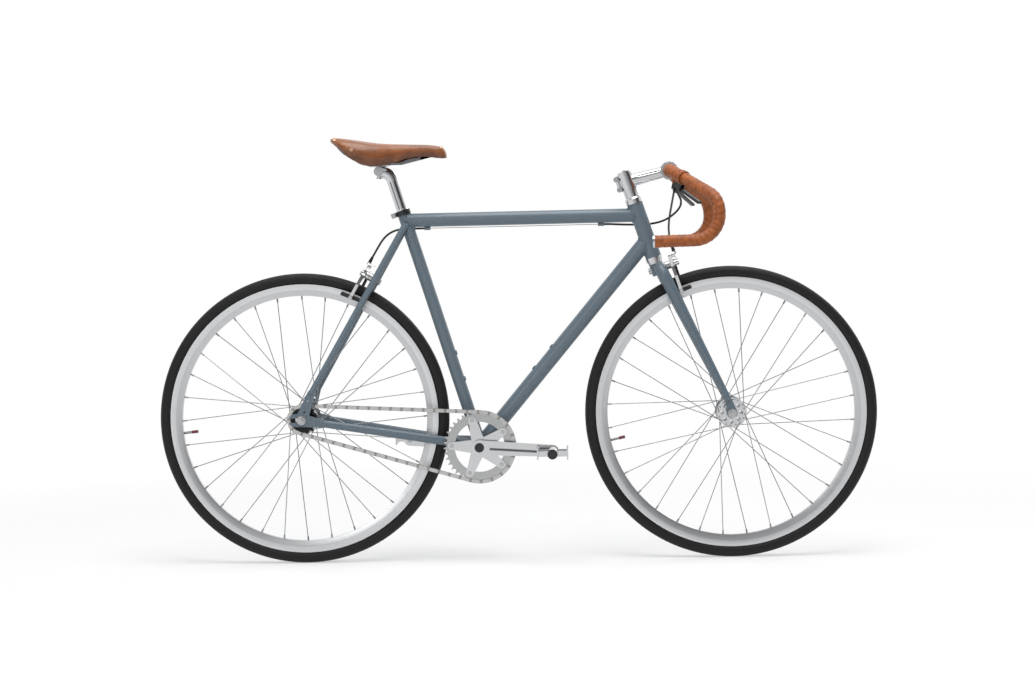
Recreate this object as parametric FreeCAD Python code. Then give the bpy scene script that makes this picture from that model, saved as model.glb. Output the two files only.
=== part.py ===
import FreeCAD
import Part
import math
import os

# Fixed gear bike. X points forward, Y to the rider's left, Z up. All lengths are millimetres.
# The origin is on the ground, midway between the two axles.

# Fits shared by all pieces
overrun = 6.0
slip_fit = 0.05
seat_gap = 0.15
running_gap = 0.4

# Frame layout
tyre_gap = 317.0
bottom_bracket_drop = 69.5
seat_angle = 72.7
seat_tube_length = 577.0
top_tube_rear_drop = 23.4
top_tube_front_rise = 112.2
down_tube_front_rise = 54.7
head_angle = 71.6
head_tube_length = 132.0

# Frame tubes
tube_wall = 1.4
head_tube_radius = 18.5
top_tube_radius = 15.9
down_tube_radius = 17.45
seat_tube_radius = 14.3
shell_radius = 20.0
shell_bore_radius = 17.2
shell_length = 68.0

# Chainstays and seatstays
chainstay_front_offset = 20.0
chainstay_front_height = 22.0
chainstay_front_width = 16.0
chainstay_rear_height = 17.0
chainstay_rear_width = 13.0
chainstay_bridge_radius = 6.0
chainstay_bridge_distance = 47.0
seatstay_top_offset = 16.0
seatstay_top_drop = 30.4
seatstay_top_radius = 8.0
seatstay_low_radius = 7.0
stay_wall = 1.4
brake_bridge_radius = 7.5
brake_bridge_clearance = 25.0

# Track ends that hold the rear axle
track_end_thickness = 7.0
track_end_radius = 15.0
track_end_tail = 15.0
track_end_stay_reach = 50.0
track_end_stay_drop = 8.5
track_end_stay_radius = 9.0
track_end_top_reach = 23.0
track_end_top_rise = 62.0
track_end_top_radius = 8.0
eyelet_hole_radius = 2.1
low_eyelet_reach = 7.0
low_eyelet_rise = 19.0
high_eyelet_reach = 16.5
high_eyelet_rise = 44.0

# Seat collar
collar_height = 11.0
collar_wall = 3.2
collar_slot = 3.0
collar_ear_length = 11.0
collar_ear_width = 20.0
collar_bolt_radius = 2.5
collar_bolt_head_radius = 4.5
collar_bolt_head_height = 4.0

# Bottle bosses and cable stops
boss_radius = 5.5
boss_height = 2.2
boss_shank_radius = 3.6
boss_hole_radius = 2.1
boss_spacing = 64.0
down_tube_boss_distance = 220.0
seat_tube_boss_distance = 160.0
stop_radius = 4.2
stop_length = 14.0
stop_stand_share = 0.8
front_stop_distance = 88.0
rear_stop_distance = 50.0

# Headset and steering column
lower_stack = 15.0
crown_race_height = 4.0
crown_race_radius = 18.0
cup_radius = 20.0
cup_wall = 2.6
upper_stack = 16.0
cover_height = 5.0
steerer_radius = 14.3
steerer_wall = 2.0
spacer_radius = 16.5
spacer_count = 3
spacer_height = 5.8
spacer_gap_share = 0.02
steerer_recess = 3.0
top_cap_radius = 16.0
top_cap_height = 4.0
top_cap_bolt_radius = 5.0
top_cap_bolt_height = 3.0

# Fork
fork_tyre_gap = 45.0
fork_rake = 51.0
crown_drop = 14.0
crown_root_radius = 16.0
blade_lead = 6.0
blade_top_radius = 14.0
blade_low_radius = 7.5
shoulder_offset = 40.0
shoulder_bend_radius = 25.0
shoulder_length = 54.0
fork_end_thickness = 6.0
fork_end_radius = 12.0
fork_end_reach = 30.0
fork_end_neck_radius = 7.0

# Wheels
rim_outer_radius = 314.0
rim_depth = 27.0
rim_width = 22.0
rim_track_height = 13.0
rim_bed_width = 13.0
rim_hook_thickness = 2.1
rim_well_depth = 8.0
rim_wall = 2.0
tyre_stand = 25.0
tyre_width = 28.0
tyre_wall = 2.6
tyre_bead_depth = 5.0
tyre_bead_width = 2.4
spoke_count = 32
spoke_crosses = 3
spoke_radius = 1.0
spoke_elbow_radius = 2.0
spoke_head_radius = 1.9
spoke_head_height = 1.2
spoke_lift = 2.7
spoke_rim_offset = 2.0
nipple_radius = 2.0
nipple_length = 12.0
nipple_depth = 3.0
inner_tube_wall = 1.2
valve_radius = 3.0
valve_bore_radius = 1.0
valve_length = 34.0
valve_cap_radius = 3.6
valve_cap_length = 15.0
front_valve_angle = 192.5
rear_valve_angle = 186.0

# Hubs and axles
flange_radius = 35.0
flange_thickness = 3.2
flange_hole_circle = 30.0
flange_hole_radius = 1.25
flange_window_radius = 4.6
flange_window_circle = 22.0
flange_window_count = 8
hub_barrel_radius = 15.0
hub_bearing_radius = 12.0
hub_bearing_width = 8.0
front_flange_offset = 34.0
front_hub_half = 41.0
front_axle_radius = 4.5
front_dropout_half = 50.0
rear_flange_offset = 31.0
rear_hub_left = 46.0
rear_hub_right = 50.0
rear_axle_radius = 5.0
rear_dropout_half = 60.0
cone_radius = 8.5
nut_flats_radius = 8.2
nut_height = 9.0
washer_radius = 10.5
washer_height = 2.0
axle_end = 6.0
axle_end_step = 0.3

# Drive train
chain_pitch = 12.7
chainstay_tyre_gap = 76.0
ring_teeth = 40
cog_teeth = 16
chain_line = 43.0
tooth_seat_radius = 4.05
tooth_flank_angle = 22.0
tooth_height = 3.1
ring_thickness = 2.8
ring_inner_radius = 58.0
bolt_circle_radius = 65.0
spider_arms = 5
spider_tab_radius = 8.5
chainring_bolt_radius = 4.0
chainring_bolt_head_radius = 5.2
chainring_bolt_head_height = 1.6
cog_thickness = 2.8
cog_seat_radius = 17.5
cog_lock_radius = 16.0
cog_shoulder = 2.5
lockring_thickness = 4.0
lockring_radius = 21.0
roller_radius = 3.85
roller_bore_radius = 1.85
chain_inner_width = 3.3
link_plate_height = 8.4
link_plate_thickness = 1.0
link_plate_gap = 0.1
pin_radius = 1.8
pin_stand = 0.5

# Cranks and bottom bracket
crank_length = 170.0
crank_angle = -3.4
crank_boss_radius = 17.0
crank_eye_radius = 13.5
crank_thickness = 13.0
crank_inner_face = 54.0
spider_thickness = 6.0
spindle_radius = 8.5
spindle_end_recess = 5.0
crank_cap_radius = 11.0
crank_cap_height = 1.6
shell_cup_radius = 20.0
shell_cup_flange = 3.0
shell_cup_depth = 18.0
shell_bearing_radius = 15.0

# Pedals
pedal_axle_radius = 6.0
pedal_start = 5.0
pedal_barrel_radius = 11.5
pedal_length = 82.0
pedal_cage_half = 34.0
pedal_cage_height = 26.0
pedal_cage_thickness = 3.0
pedal_cage_width = 74.0
pedal_tooth_depth = 4.0
pedal_tooth_count = 7
pedal_web_thickness = 6.0
pedal_web_height = 12.0
pedal_cap_radius = 9.5
pedal_cap_height = 5.0

# Seatpost and saddle
seatpost_radius = 13.6
seatpost_wall = 2.4
seatpost_insertion = 130.0
seatpost_showing = 89.0
seatpost_bend_radius = 26.0
head_setback = 26.0
head_rise = 6.0
head_barrel_radius = 11.0
head_barrel_width = 40.0
rail_radius = 3.5
rail_spacing = 44.0
clamp_plate_length = 40.0
clamp_plate_height = 8.0
clamp_plate_margin = 5.0
clamp_bolt_radius = 3.5
clamp_bolt_head_radius = 6.5
clamp_bolt_head_height = 6.0
saddle_length = 268.0
saddle_width = 152.0
saddle_height = 70.0
saddle_wall = 5.0
saddle_rear_setback = 110.0
saddle_skirt_drop = 9.0
saddle_station_shares = [0.0, 0.07, 0.16, 0.27, 0.40, 0.54, 0.70, 0.86, 0.965, 1.0]
saddle_width_shares = [0.45, 0.80, 0.97, 1.0, 0.82, 0.52, 0.33, 0.27, 0.22, 0.12]
saddle_top_shares = [0.97, 0.985, 0.945, 0.88, 0.80, 0.76, 0.735, 0.705, 0.625, 0.48]
saddle_skirt_shares = [0.86, 0.63, 0.315, 0.09, 0.0, 0.11, 0.285, 0.30, 0.26, 0.27]
saddle_tuck_share = 0.86
saddle_bulge_share = 0.45
saddle_brow_share = 0.88
saddle_crown_share = 0.78
saddle_nose_plate_share = 0.89
saddle_rear_plate_share = 0.13
rail_front_share = 0.93
rail_rear_share = 0.10
rail_front_rise_share = 0.42
rail_rear_rise_share = 0.78
rail_front_width_share = 0.30
rail_rear_width_share = 1.7
rail_flat_front_share = 0.60
rail_flat_rear_share = 0.25
rail_bend_radius = 24.0
rivet_radius = 4.0
rivet_height = 1.4
rivet_place_share = 0.20
rivet_height_share = 0.56

# Stem and handlebar
stem_length = 100.0
stem_rise_angle = 13.6
stem_clamp_height = 40.0
stem_clamp_radius = 18.6
stem_rear_radius = 15.0
stem_front_radius = 12.5
stem_ear_reach = 23.0
stem_ear_width = 22.0
stem_ear_radius = 6.0
pinch_bolt_radius = 2.6
pinch_bolt_head_radius = 4.6
pinch_bolt_spacing = 25.0
bar_clamp_radius = 20.5
bar_clamp_width = 42.0
face_plate_gap = 1.5
face_bolt_radius = 2.4
face_bolt_head_radius = 4.2
face_bolt_head_height = 4.0
face_bolt_offset = 13.0
bar_radius = 11.9
bar_wall = 2.2
bar_sleeve_radius = 13.0
bar_half_width = 200.0
bar_centre_half = 62.0
bar_reach = 103.5
bar_ramp_drop = 70.5
bar_drop = 161.5
bar_end_back = 42.0
bar_end_slope = 2.4
bar_shoulder_bend = 40.0
bar_hook_upper_bend = 46.0
bar_hook_lower_bend = 57.0
wrap_thickness = 2.2
wrap_start = 24.0
plug_length = 4.0
plug_depth = 12.0

# Brake levers on the ramps of the bar
lever_clamp_distance = 50.0
lever_band_wall = 2.4
lever_band_width = 11.0
lever_pivot_drop = 27.0
lever_cheek_thickness = 3.0
lever_cheek_radius = 6.0
lever_blade_thickness = 8.0
lever_pin_radius = 2.0
lever_pivot_radius = 5.0
lever_blade_radius = 3.2
lever_blade_length = 74.0
lever_blade_drop = 33.0
lever_knee_reach = 16.0
lever_knee_drop = 29.0
lever_socket_radius = 4.0
lever_socket_length = 2.0

# Rim brakes
arm_thickness = 7.0
arm_gap = 0.8
front_arm_standoff = 30.5
rear_arm_standoff = 18.0
centre_bolt_radius = 3.0
centre_nut_radius = 7.0
centre_nut_height = 6.0
arm_boss_radius = 9.5
arm_shoulder_reach = 25.0
arm_shoulder_drop = 5.0
arm_shoulder_radius = 7.5
arm_side_reach = 34.0
arm_side_drop = 28.0
arm_side_radius = 6.5
arm_foot_reach = 32.5
arm_foot_radius = 5.5
cable_reach = 37.0
anchor_rise = 1.0
barrel_rise = 20.0
cable_eye_radius = 6.0
barrel_radius = 4.5
barrel_length = 7.0
anchor_radius = 5.5
anchor_height = 4.4
cable_wire_radius = 0.8
barrel_bore_radius = 2.6
pad_gap = 2.6
pad_depth = 9.0
pad_thickness = 9.0
pad_length = 50.0
pad_height = 8.0
holder_thickness = 4.0
holder_height = 7.0
shoe_bolt_radius = 2.5
shoe_nut_radius = 4.5
shoe_nut_height = 4.0
housing_radius = 2.5
boot_radius = 3.8
boot_length = 14.0
cable_lead = 9.0
barrel_run = 34.0
stop_run = 11.0
cable_run_share = 0.45

# Routes of the brake cables between their ends, from the photographed bike
front_housing_from_bar = [
    (6.2, 44.0, -82.9),
    (-1.8, 8.0, -117.9),
]
steering_housing_from_bar = [
    (26.2, -62.0, -70.9),
    (22.2, -36.0, -88.9),
    (0.2, -11.0, -108.9),
]
steering_housing_from_stop = [
    (135.3, 10.0, 1.7),
    (102.3, 25.5, -2.3),
    (59.3, 24.0, -1.8),
    (28.3, 7.0, -0.3),
]
rear_housing_from_stop = [
    (-41.7, 29.0, 0.0),
    (-74.7, 36.0, -1.0),
    (-102.7, 37.0, -16.0),
]


def vec(x, y, z):
    return FreeCAD.Vector(x, y, z)


def unit(vector):
    return FreeCAD.Vector(vector).normalize()


def rod(start, end, radius):
    span = end - start
    return Part.makeCylinder(radius, span.Length, start, span)


def cone(start, end, start_radius, end_radius):
    span = end - start
    return Part.makeCone(start_radius, end_radius, span.Length, start, span)


def ring(start, end, outer, inner):
    reach = unit(end - start) * overrun
    return rod(start, end, outer).cut(rod(start - reach, end + reach, inner))


def across(x, z, y_from, y_to, radius):
    return rod(vec(x, y_from, z), vec(x, y_to, z), radius)


def fused(shapes):
    shapes = list(shapes)
    if len(shapes) == 1:
        return shapes[0]
    return shapes[0].multiFuse(shapes[1:]).removeSplitter()


def mirrored(shape):
    return shape.mirror(vec(0, 0, 0), vec(0, 1, 0))


def frame_at(origin, x_axis, y_axis, z_axis):
    rows = [[x_axis[i], y_axis[i], z_axis[i], origin[i]] for i in range(3)]
    values = rows[0] + rows[1] + rows[2] + [0, 0, 0, 1]
    return FreeCAD.Placement(FreeCAD.Matrix(*values))


def placed(shape, placement):
    moved = shape.copy()
    moved.Placement = placement.multiply(shape.Placement)
    return moved


def box_between(low, high):
    size = high - low
    return Part.makeBox(size.x, size.y, size.z, low)


def polar(x, z, radius, degrees, y=0):
    turn = math.radians(degrees)
    return vec(x + radius * math.cos(turn), y, z + radius * math.sin(turn))


# Outline of two circles and the lines that touch both, raised between two levels
def two_circle_bar(first, second, low, high):
    x1, y1, r1 = first
    x2, y2, r2 = second
    span = math.hypot(x2 - x1, y2 - y1)
    heading = math.atan2(y2 - y1, x2 - x1)
    lean = math.acos((r1 - r2) / span)

    def on_circle(x, y, r, angle):
        return vec(x + r * math.cos(angle), y + r * math.sin(angle), low)

    a1 = on_circle(x1, y1, r1, heading + lean)
    a2 = on_circle(x1, y1, r1, heading + math.pi)
    a3 = on_circle(x1, y1, r1, heading - lean)
    b1 = on_circle(x2, y2, r2, heading - lean)
    b2 = on_circle(x2, y2, r2, heading)
    b3 = on_circle(x2, y2, r2, heading + lean)
    edges = [
        Part.Arc(a1, a2, a3).toShape(),
        Part.makeLine(a3, b1),
        Part.Arc(b1, b2, b3).toShape(),
        Part.makeLine(b3, a1),
    ]
    return Part.Face(Part.Wire(edges)).extrude(vec(0, 0, high - low))


def strip(circles, low, high):
    return fused(two_circle_bar(a, b, low, high) for a, b in zip(circles, circles[1:]))


# A path of straight runs joined by tangent arcs
def bent_path(points, radii):
    edges = []
    start = points[0]
    for corner, after, radius in zip(points[1:-1], points[2:], radii):
        back = unit(start - corner)
        ahead = unit(after - corner)
        half_turn = (math.pi - back.getAngle(ahead)) / 2
        reach = radius * math.tan(half_turn)
        arc_start = corner + back * reach
        arc_end = corner + ahead * reach
        middle = unit(back + ahead) * (radius / math.cos(half_turn) - radius)
        edges.append(Part.makeLine(start, arc_start))
        edges.append(Part.Arc(arc_start, corner + middle, arc_end).toShape())
        start = arc_end
    edges.append(Part.makeLine(start, points[-1]))
    return Part.Wire(edges)


def bent_rod(points, radii, radius):
    heading = points[1] - points[0]
    section = Part.Wire(Part.makeCircle(radius, points[0], heading))
    return bent_path(points, radii).makePipeShell([section], True, False)


# The largest arcs that a cable's runs leave room for
def cable_radii(points):
    radii = []
    for before, corner, after in zip(points, points[1:], points[2:]):
        shorter = min((before - corner).Length, (after - corner).Length)
        turn = math.pi - (before - corner).getAngle(after - corner)
        radii.append(cable_run_share * shorter / math.tan(turn / 2))
    return radii


# Sprocket pitch circles and the axle distance that the closed chain sets
ring_pitch_radius = chain_pitch / (2 * math.sin(math.pi / ring_teeth))
cog_pitch_radius = chain_pitch / (2 * math.sin(math.pi / cog_teeth))


def links_for(distance):
    lean = math.asin((ring_pitch_radius - cog_pitch_radius) / distance)
    straight = math.sqrt(distance ** 2 - (ring_pitch_radius - cog_pitch_radius) ** 2)
    on_ring = (math.pi + 2 * lean) / (2 * math.pi) * ring_teeth
    on_cog = (math.pi - 2 * lean) / (2 * math.pi) * cog_teeth
    return on_ring + on_cog + 2 * straight / chain_pitch


wheel_radius = rim_outer_radius + tyre_stand
chain_links = 2 * math.ceil(links_for(wheel_radius + chainstay_tyre_gap) / 2)


def axle_distance():
    low = ring_pitch_radius + cog_pitch_radius
    high = chain_links * chain_pitch
    for _ in range(60):
        middle = (low + high) / 2
        if links_for(middle) < chain_links:
            low = middle
        else:
            high = middle
    return low


chainstay_length = axle_distance()

# Main places
wheelbase = wheel_radius * 2 + tyre_gap
rear_axle_x = -wheelbase / 2
front_axle_x = wheelbase / 2
axle_z = wheel_radius
rear_axle = vec(rear_axle_x, 0, axle_z)
front_axle = vec(front_axle_x, 0, axle_z)
bracket_z = axle_z - bottom_bracket_drop
bracket_x = rear_axle_x + math.sqrt(chainstay_length ** 2 - bottom_bracket_drop ** 2)
bracket = vec(bracket_x, 0, bracket_z)
lateral = vec(0, 1, 0)

seat_up = vec(-math.cos(math.radians(seat_angle)), 0, math.sin(math.radians(seat_angle)))
steer_up = vec(-math.cos(math.radians(head_angle)), 0, math.sin(math.radians(head_angle)))
steer_front = lateral.cross(steer_up)
crown_seat = front_axle - steer_front * fork_rake + steer_up * (wheel_radius + fork_tyre_gap)
head_low = crown_seat + steer_up * lower_stack
head_high = head_low + steer_up * head_tube_length
seat_top = bracket + seat_up * seat_tube_length


def on_axis(start, direction, height):
    return start + direction * ((height - start.z) / direction.z)


top_tube_rear = on_axis(bracket, seat_up, seat_top.z - top_tube_rear_drop)
top_tube_front = on_axis(crown_seat, steer_up, crown_seat.z + top_tube_front_rise)
down_tube_front = on_axis(crown_seat, steer_up, crown_seat.z + down_tube_front_rise)
down_tube_up = unit(down_tube_front - bracket)
top_tube_along = unit(top_tube_front - top_tube_rear)

# Solid bodies of the main tubes, used for mitring their neighbours
head_body = rod(head_low, head_high, head_tube_radius)
seat_body = rod(bracket, seat_top, seat_tube_radius)
shell_body = across(bracket_x, bracket_z, -shell_length / 2, shell_length / 2, shell_radius)
top_body = rod(top_tube_rear, top_tube_front, top_tube_radius)
down_body = rod(bracket, down_tube_front, down_tube_radius)


# Main triangle of the frame
def head_tube():
    return ring(head_low, head_high, head_tube_radius, head_tube_radius - tube_wall * 2)


def boss_places():
    places = []
    down_out = unit(lateral.cross(down_tube_up) * -1)
    seat_out = unit(lateral.cross(seat_up))
    for step in (0, 1):
        along = down_tube_boss_distance + step * boss_spacing
        places.append((bracket + down_tube_up * along, down_out, down_tube_radius))
    for step in (0, 1):
        along = seat_tube_boss_distance + step * boss_spacing
        places.append((bracket + seat_up * along, seat_out, seat_tube_radius))
    return places


def boss_shanks():
    return [rod(at, at + out * (radius + overrun), boss_shank_radius)
            for at, out, radius in boss_places()]


def hollow(body, start, end, radius, wall):
    return body.cut(rod(start, end, radius - wall))


def top_tube():
    tube = hollow(top_body, top_tube_rear, top_tube_front, top_tube_radius, tube_wall)
    return tube.cut(seat_body).cut(head_body)


def down_tube():
    tube = hollow(down_body, bracket, down_tube_front, down_tube_radius, tube_wall)
    return tube.cut(seat_body).cut(head_body).cut(shell_body).cut(boss_shanks())


def seat_tube():
    tube = hollow(seat_body, bracket, seat_top, seatpost_radius + slip_fit, 0)
    return tube.cut(shell_body).cut(boss_shanks())


def bottom_bracket_shell():
    half = shell_length / 2
    right = vec(bracket_x, -half, bracket_z)
    left = vec(bracket_x, half, bracket_z)
    return ring(right, left, shell_radius, shell_bore_radius)


def frame_fittings():
    pieces = []
    for at, out, radius in boss_places():
        head = at + out * radius
        foot = head - out * tube_wall
        tip = head + out * boss_height
        boss = rod(foot, tip, boss_radius).cut(down_body).cut(seat_body)
        boss = boss.fuse(rod(foot, tip, boss_shank_radius))
        pieces.append(boss.cut(rod(at, tip + out * overrun, boss_hole_radius)).removeSplitter())
    for place in (front_stop, rear_stop):
        back = top_tube_along * (stop_length / 2)
        stop = rod(place - back, place + back, stop_radius)
        bore = rod(place - back * 2, place + back * 2, cable_wire_radius + slip_fit)
        pieces.append(stop.cut(top_body).cut(bore))
    return pieces


# Line of the bare brake wire below the top tube
wire_down = top_tube_along.cross(lateral) * -1
wire_drop = wire_down * (top_tube_radius + stop_radius * stop_stand_share)
front_stop = top_tube_front - top_tube_along * front_stop_distance + wire_drop
rear_stop = top_tube_rear + top_tube_along * rear_stop_distance + wire_drop

# Track ends, drawn in the plane of the wheel and set out to each side
side_view = frame_at(vec(rear_axle_x, 0, axle_z), vec(1, 0, 0), vec(0, 0, 1), vec(0, -1, 0))
track_end_mid = rear_dropout_half + track_end_thickness / 2


def right_track_end():
    low = rear_dropout_half
    high = rear_dropout_half + track_end_thickness
    axle = (0, 0, track_end_radius)
    tail = (-track_end_tail, 0, track_end_radius)
    stay = (track_end_stay_reach, -track_end_stay_drop, track_end_stay_radius)
    top = (track_end_top_reach, track_end_top_rise, track_end_top_radius)
    plate = fused([strip([tail, axle, stay], low, high), strip([axle, top], low, high)])
    slot_half = rear_axle_radius + slip_fit
    tail_end = track_end_tail + track_end_radius + overrun
    slot = box_between(vec(-tail_end, -slot_half, low - overrun), vec(0, slot_half, high + overrun))
    slot = slot.fuse(Part.makeCylinder(slot_half, high - low + overrun * 2, vec(0, 0, low - overrun)))
    holes = [
        Part.makeCylinder(eyelet_hole_radius, high - low + overrun * 2, vec(reach, rise, low - overrun))
        for reach, rise in ((low_eyelet_reach, low_eyelet_rise), (high_eyelet_reach, high_eyelet_rise))
    ]
    return placed(plate.cut([slot] + holes), side_view)


# Stays: oval chainstays and tapered round seatstays, notched over the track ends
def ellipse_wire(centre, along, tall, wide):
    across_axis = unit(along.cross(vec(0, 0, 1)))
    up_axis = unit(across_axis.cross(along))
    turn = frame_at(centre, up_axis, across_axis, unit(up_axis.cross(across_axis)))
    oval = Part.Ellipse(vec(0, 0, 0), tall / 2, wide / 2)
    return placed(Part.Wire(oval.toShape()), turn)


def right_chainstay():
    front = vec(bracket_x, -chainstay_front_offset, bracket_z)
    rear = vec(rear_axle_x + track_end_stay_reach, -track_end_mid, axle_z - track_end_stay_drop)
    along = rear - front

    def oval_body(inset):
        wires = [
            ellipse_wire(front, along, chainstay_front_height - inset, chainstay_front_width - inset),
            ellipse_wire(rear, along, chainstay_rear_height - inset, chainstay_rear_width - inset),
        ]
        return Part.makeLoft(wires, True, True)

    stay = oval_body(0).cut(oval_body(stay_wall * 2))
    return stay.cut(shell_body).cut(seat_body).cut(right_track_end())


def chainstays():
    right = right_chainstay()
    x = bracket_x - chainstay_bridge_distance
    z = bracket_z + (axle_z - bracket_z) * chainstay_bridge_distance / chainstay_length
    reach = chainstay_front_offset + chainstay_front_width
    left = mirrored(right)
    bridge = across(x, z, -reach, reach, chainstay_bridge_radius).cut(right).cut(left)
    bridge = max(bridge.Solids, key=lambda solid: solid.Volume)
    return [right, left, bridge]


seatstay_low = vec(rear_axle_x + track_end_top_reach, -track_end_mid, axle_z + track_end_top_rise)
seatstay_high = on_axis(bracket, seat_up, seat_top.z - seatstay_top_drop) - lateral * seatstay_top_offset
stay_plane_up = unit(vec(seatstay_high.x - seatstay_low.x, 0, seatstay_high.z - seatstay_low.z))
stay_plane_back = stay_plane_up.cross(lateral)


def bridge_point():
    foot = vec(seatstay_low.x, 0, seatstay_low.z) - rear_axle
    reach = wheel_radius + brake_bridge_clearance
    half = foot.dot(stay_plane_up)
    along = -half + math.sqrt(half ** 2 - foot.Length ** 2 + reach ** 2)
    return rear_axle + foot + stay_plane_up * along


brake_bridge = bridge_point()


def bridge_body():
    half = lateral * track_end_mid
    return rod(brake_bridge - half, brake_bridge + half, brake_bridge_radius)


def right_seatstay():
    stay = cone(seatstay_low, seatstay_high, seatstay_low_radius, seatstay_top_radius)
    low_bore = seatstay_low_radius - stay_wall
    bore = cone(seatstay_low, seatstay_high, low_bore, seatstay_top_radius - stay_wall)
    return stay.cut(bore).cut(seat_body).cut(top_body).cut(right_track_end())


def seatstays():
    right = right_seatstay()
    left = mirrored(right)
    bolt_reach = stay_plane_back * (brake_bridge_radius + overrun)
    bore = rod(brake_bridge - bolt_reach, brake_bridge + bolt_reach, centre_bolt_radius + slip_fit)
    pieces = bridge_body().cut(right).cut(left).cut(bore).Solids
    return [right, left, max(pieces, key=lambda solid: solid.Volume)]


# Seat collar round the top of the seat tube, with its binder bolt behind
def seat_collar():
    low = seat_top - seat_up * collar_height
    outer = seat_tube_radius + slip_fit + collar_wall
    body = rod(low, seat_top, outer)
    back = seat_up.cross(lateral)
    turn = frame_at(low, back, lateral * -1, seat_up)
    ear_end = outer + collar_ear_length
    half = collar_ear_width / 2
    ears = placed(box_between(vec(0, -half, 0), vec(ear_end, half, collar_height)), turn)
    slot_half = collar_slot / 2
    slot_far = vec(ear_end + overrun, slot_half, collar_height + overrun)
    slot = box_between(vec(0, -slot_half, -overrun), slot_far)
    reach = seat_up * overrun
    bore = rod(low - reach, seat_top + reach, seat_tube_radius + slip_fit)
    centre = low + seat_up * (collar_height / 2) + back * (outer + collar_ear_length / 2)
    hole = rod(centre - lateral * ear_end, centre + lateral * ear_end, collar_bolt_radius + slip_fit)
    collar = body.fuse(ears).cut(bore).cut(placed(slot, turn)).cut(hole).removeSplitter()
    bolt = rod(centre - lateral * half, centre + lateral * half, collar_bolt_radius)
    for side in (-1, 1):
        face = centre + lateral * (half * side)
        head_face = face + lateral * (collar_bolt_head_height * side)
        bolt = bolt.fuse(rod(face, head_face, collar_bolt_head_radius))
    return [collar, bolt.removeSplitter()]


# Headset: cups pressed in the frame, bearings inside them, race, cover and spacers on the fork
def headset():
    pieces = []
    low_start = crown_seat + steer_up * (crown_race_height + running_gap)
    high_end = head_high + steer_up * (upper_stack - cover_height - running_gap)
    for start, end in ((low_start, head_low), (head_high, high_end)):
        pieces.append(ring(start, end, cup_radius, cup_radius - cup_wall))
        pieces.append(ring(start, end, cup_radius - cup_wall - slip_fit, steerer_radius + slip_fit))
    return pieces


stem_low = head_high + steer_up * (upper_stack + spacer_height * spacer_count)
stem_high = stem_low + steer_up * stem_clamp_height


def headset_spacers():
    bore = steerer_radius + slip_fit
    race = ring(crown_seat, crown_seat + steer_up * crown_race_height, crown_race_radius, bore)
    cover_low = head_high + steer_up * (upper_stack - cover_height)
    cover_high = head_high + steer_up * upper_stack
    reach = steer_up * overrun
    cover = cone(cover_low, cover_high, cup_radius, spacer_radius)
    cover = cover.cut(rod(cover_low - reach, cover_high + reach, bore))
    pieces = [race, cover]
    for index in range(spacer_count):
        low = cover_high + steer_up * (spacer_height * index)
        high = low + steer_up * (spacer_height * (1 - spacer_gap_share))
        pieces.append(ring(low, high, spacer_radius, bore))
    cap = rod(stem_high, stem_high + steer_up * top_cap_height, top_cap_radius)
    cap_top = stem_high + steer_up * top_cap_height
    bolt = rod(cap_top, cap_top + steer_up * top_cap_bolt_height, top_cap_bolt_radius)
    pieces.append(cap.fuse(bolt).removeSplitter())
    return pieces


# Fork: steerer, bent crown, tapered blades and slotted ends
crown_point = crown_seat - steer_up * crown_drop
blade_down = unit(front_axle - crown_point)
blade_front = blade_down.cross(lateral)
blade_origin = crown_point + blade_front * blade_lead


def steerer():
    top = stem_high - steer_up * steerer_recess
    return ring(crown_seat, top, steerer_radius, steerer_radius - steerer_wall)


def front_brake_bore():
    reach = steer_front * (crown_root_radius + blade_top_radius + blade_lead + overrun)
    return rod(crown_point - reach, crown_point + reach, centre_bolt_radius + slip_fit)


def fork_crown_body():
    side = lateral * shoulder_offset
    down = blade_down * shoulder_length
    points = [
        blade_origin - side + down,
        blade_origin - side,
        blade_origin + side,
        blade_origin + side + down,
    ]
    arch = bent_rod(points, [shoulder_bend_radius] * 2, blade_top_radius)
    root = rod(crown_point - steer_up * crown_drop, crown_seat, crown_root_radius)
    above = rod(crown_seat, crown_seat + steer_up * crown_drop, shoulder_offset)
    return arch.fuse(root).cut(above).removeSplitter()


def fork_crown():
    return fork_crown_body().cut(front_brake_bore())


fork_end_mid = front_dropout_half + fork_end_thickness / 2


def right_fork_end():
    turn = frame_at(front_axle, blade_front, blade_down * -1, vec(0, -1, 0))
    low = front_dropout_half
    high = low + fork_end_thickness
    neck = (blade_lead, fork_end_reach, fork_end_neck_radius)
    plate = strip([(0, 0, fork_end_radius), neck], low, high)
    half = front_axle_radius + slip_fit
    slot_near = vec(-half, -fork_end_radius - overrun, low - overrun)
    slot = box_between(slot_near, vec(half, 0, high + overrun))
    eye = Part.makeCylinder(half, high - low + overrun * 2, vec(0, 0, low - overrun))
    return placed(plate.cut(slot).cut(eye), turn)


def fork_blades():
    top = blade_origin - lateral * shoulder_offset + blade_down * shoulder_length
    low = front_axle + blade_front * blade_lead - blade_down * fork_end_reach - lateral * fork_end_mid
    end = right_fork_end()

    def blade_body(inset):
        wires = [Part.Wire(Part.makeCircle(radius - inset, centre, blade_down))
                 for radius, centre in ((blade_top_radius, top), (blade_low_radius, low))]
        return Part.makeLoft(wires, True, True)

    blade = blade_body(0).cut(blade_body(stay_wall)).cut(end)
    return [blade, mirrored(blade), end, mirrored(end)]


# Wheels
rim_inner_radius = rim_outer_radius - rim_depth
tyre_centre_radius = wheel_radius - tyre_width / 2


def flat_face(points):
    return Part.Face(Part.makePolygon(points + points[:1]))


def turned(face, x):
    return face.revolve(vec(x, 0, axle_z), lateral, 360)


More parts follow.
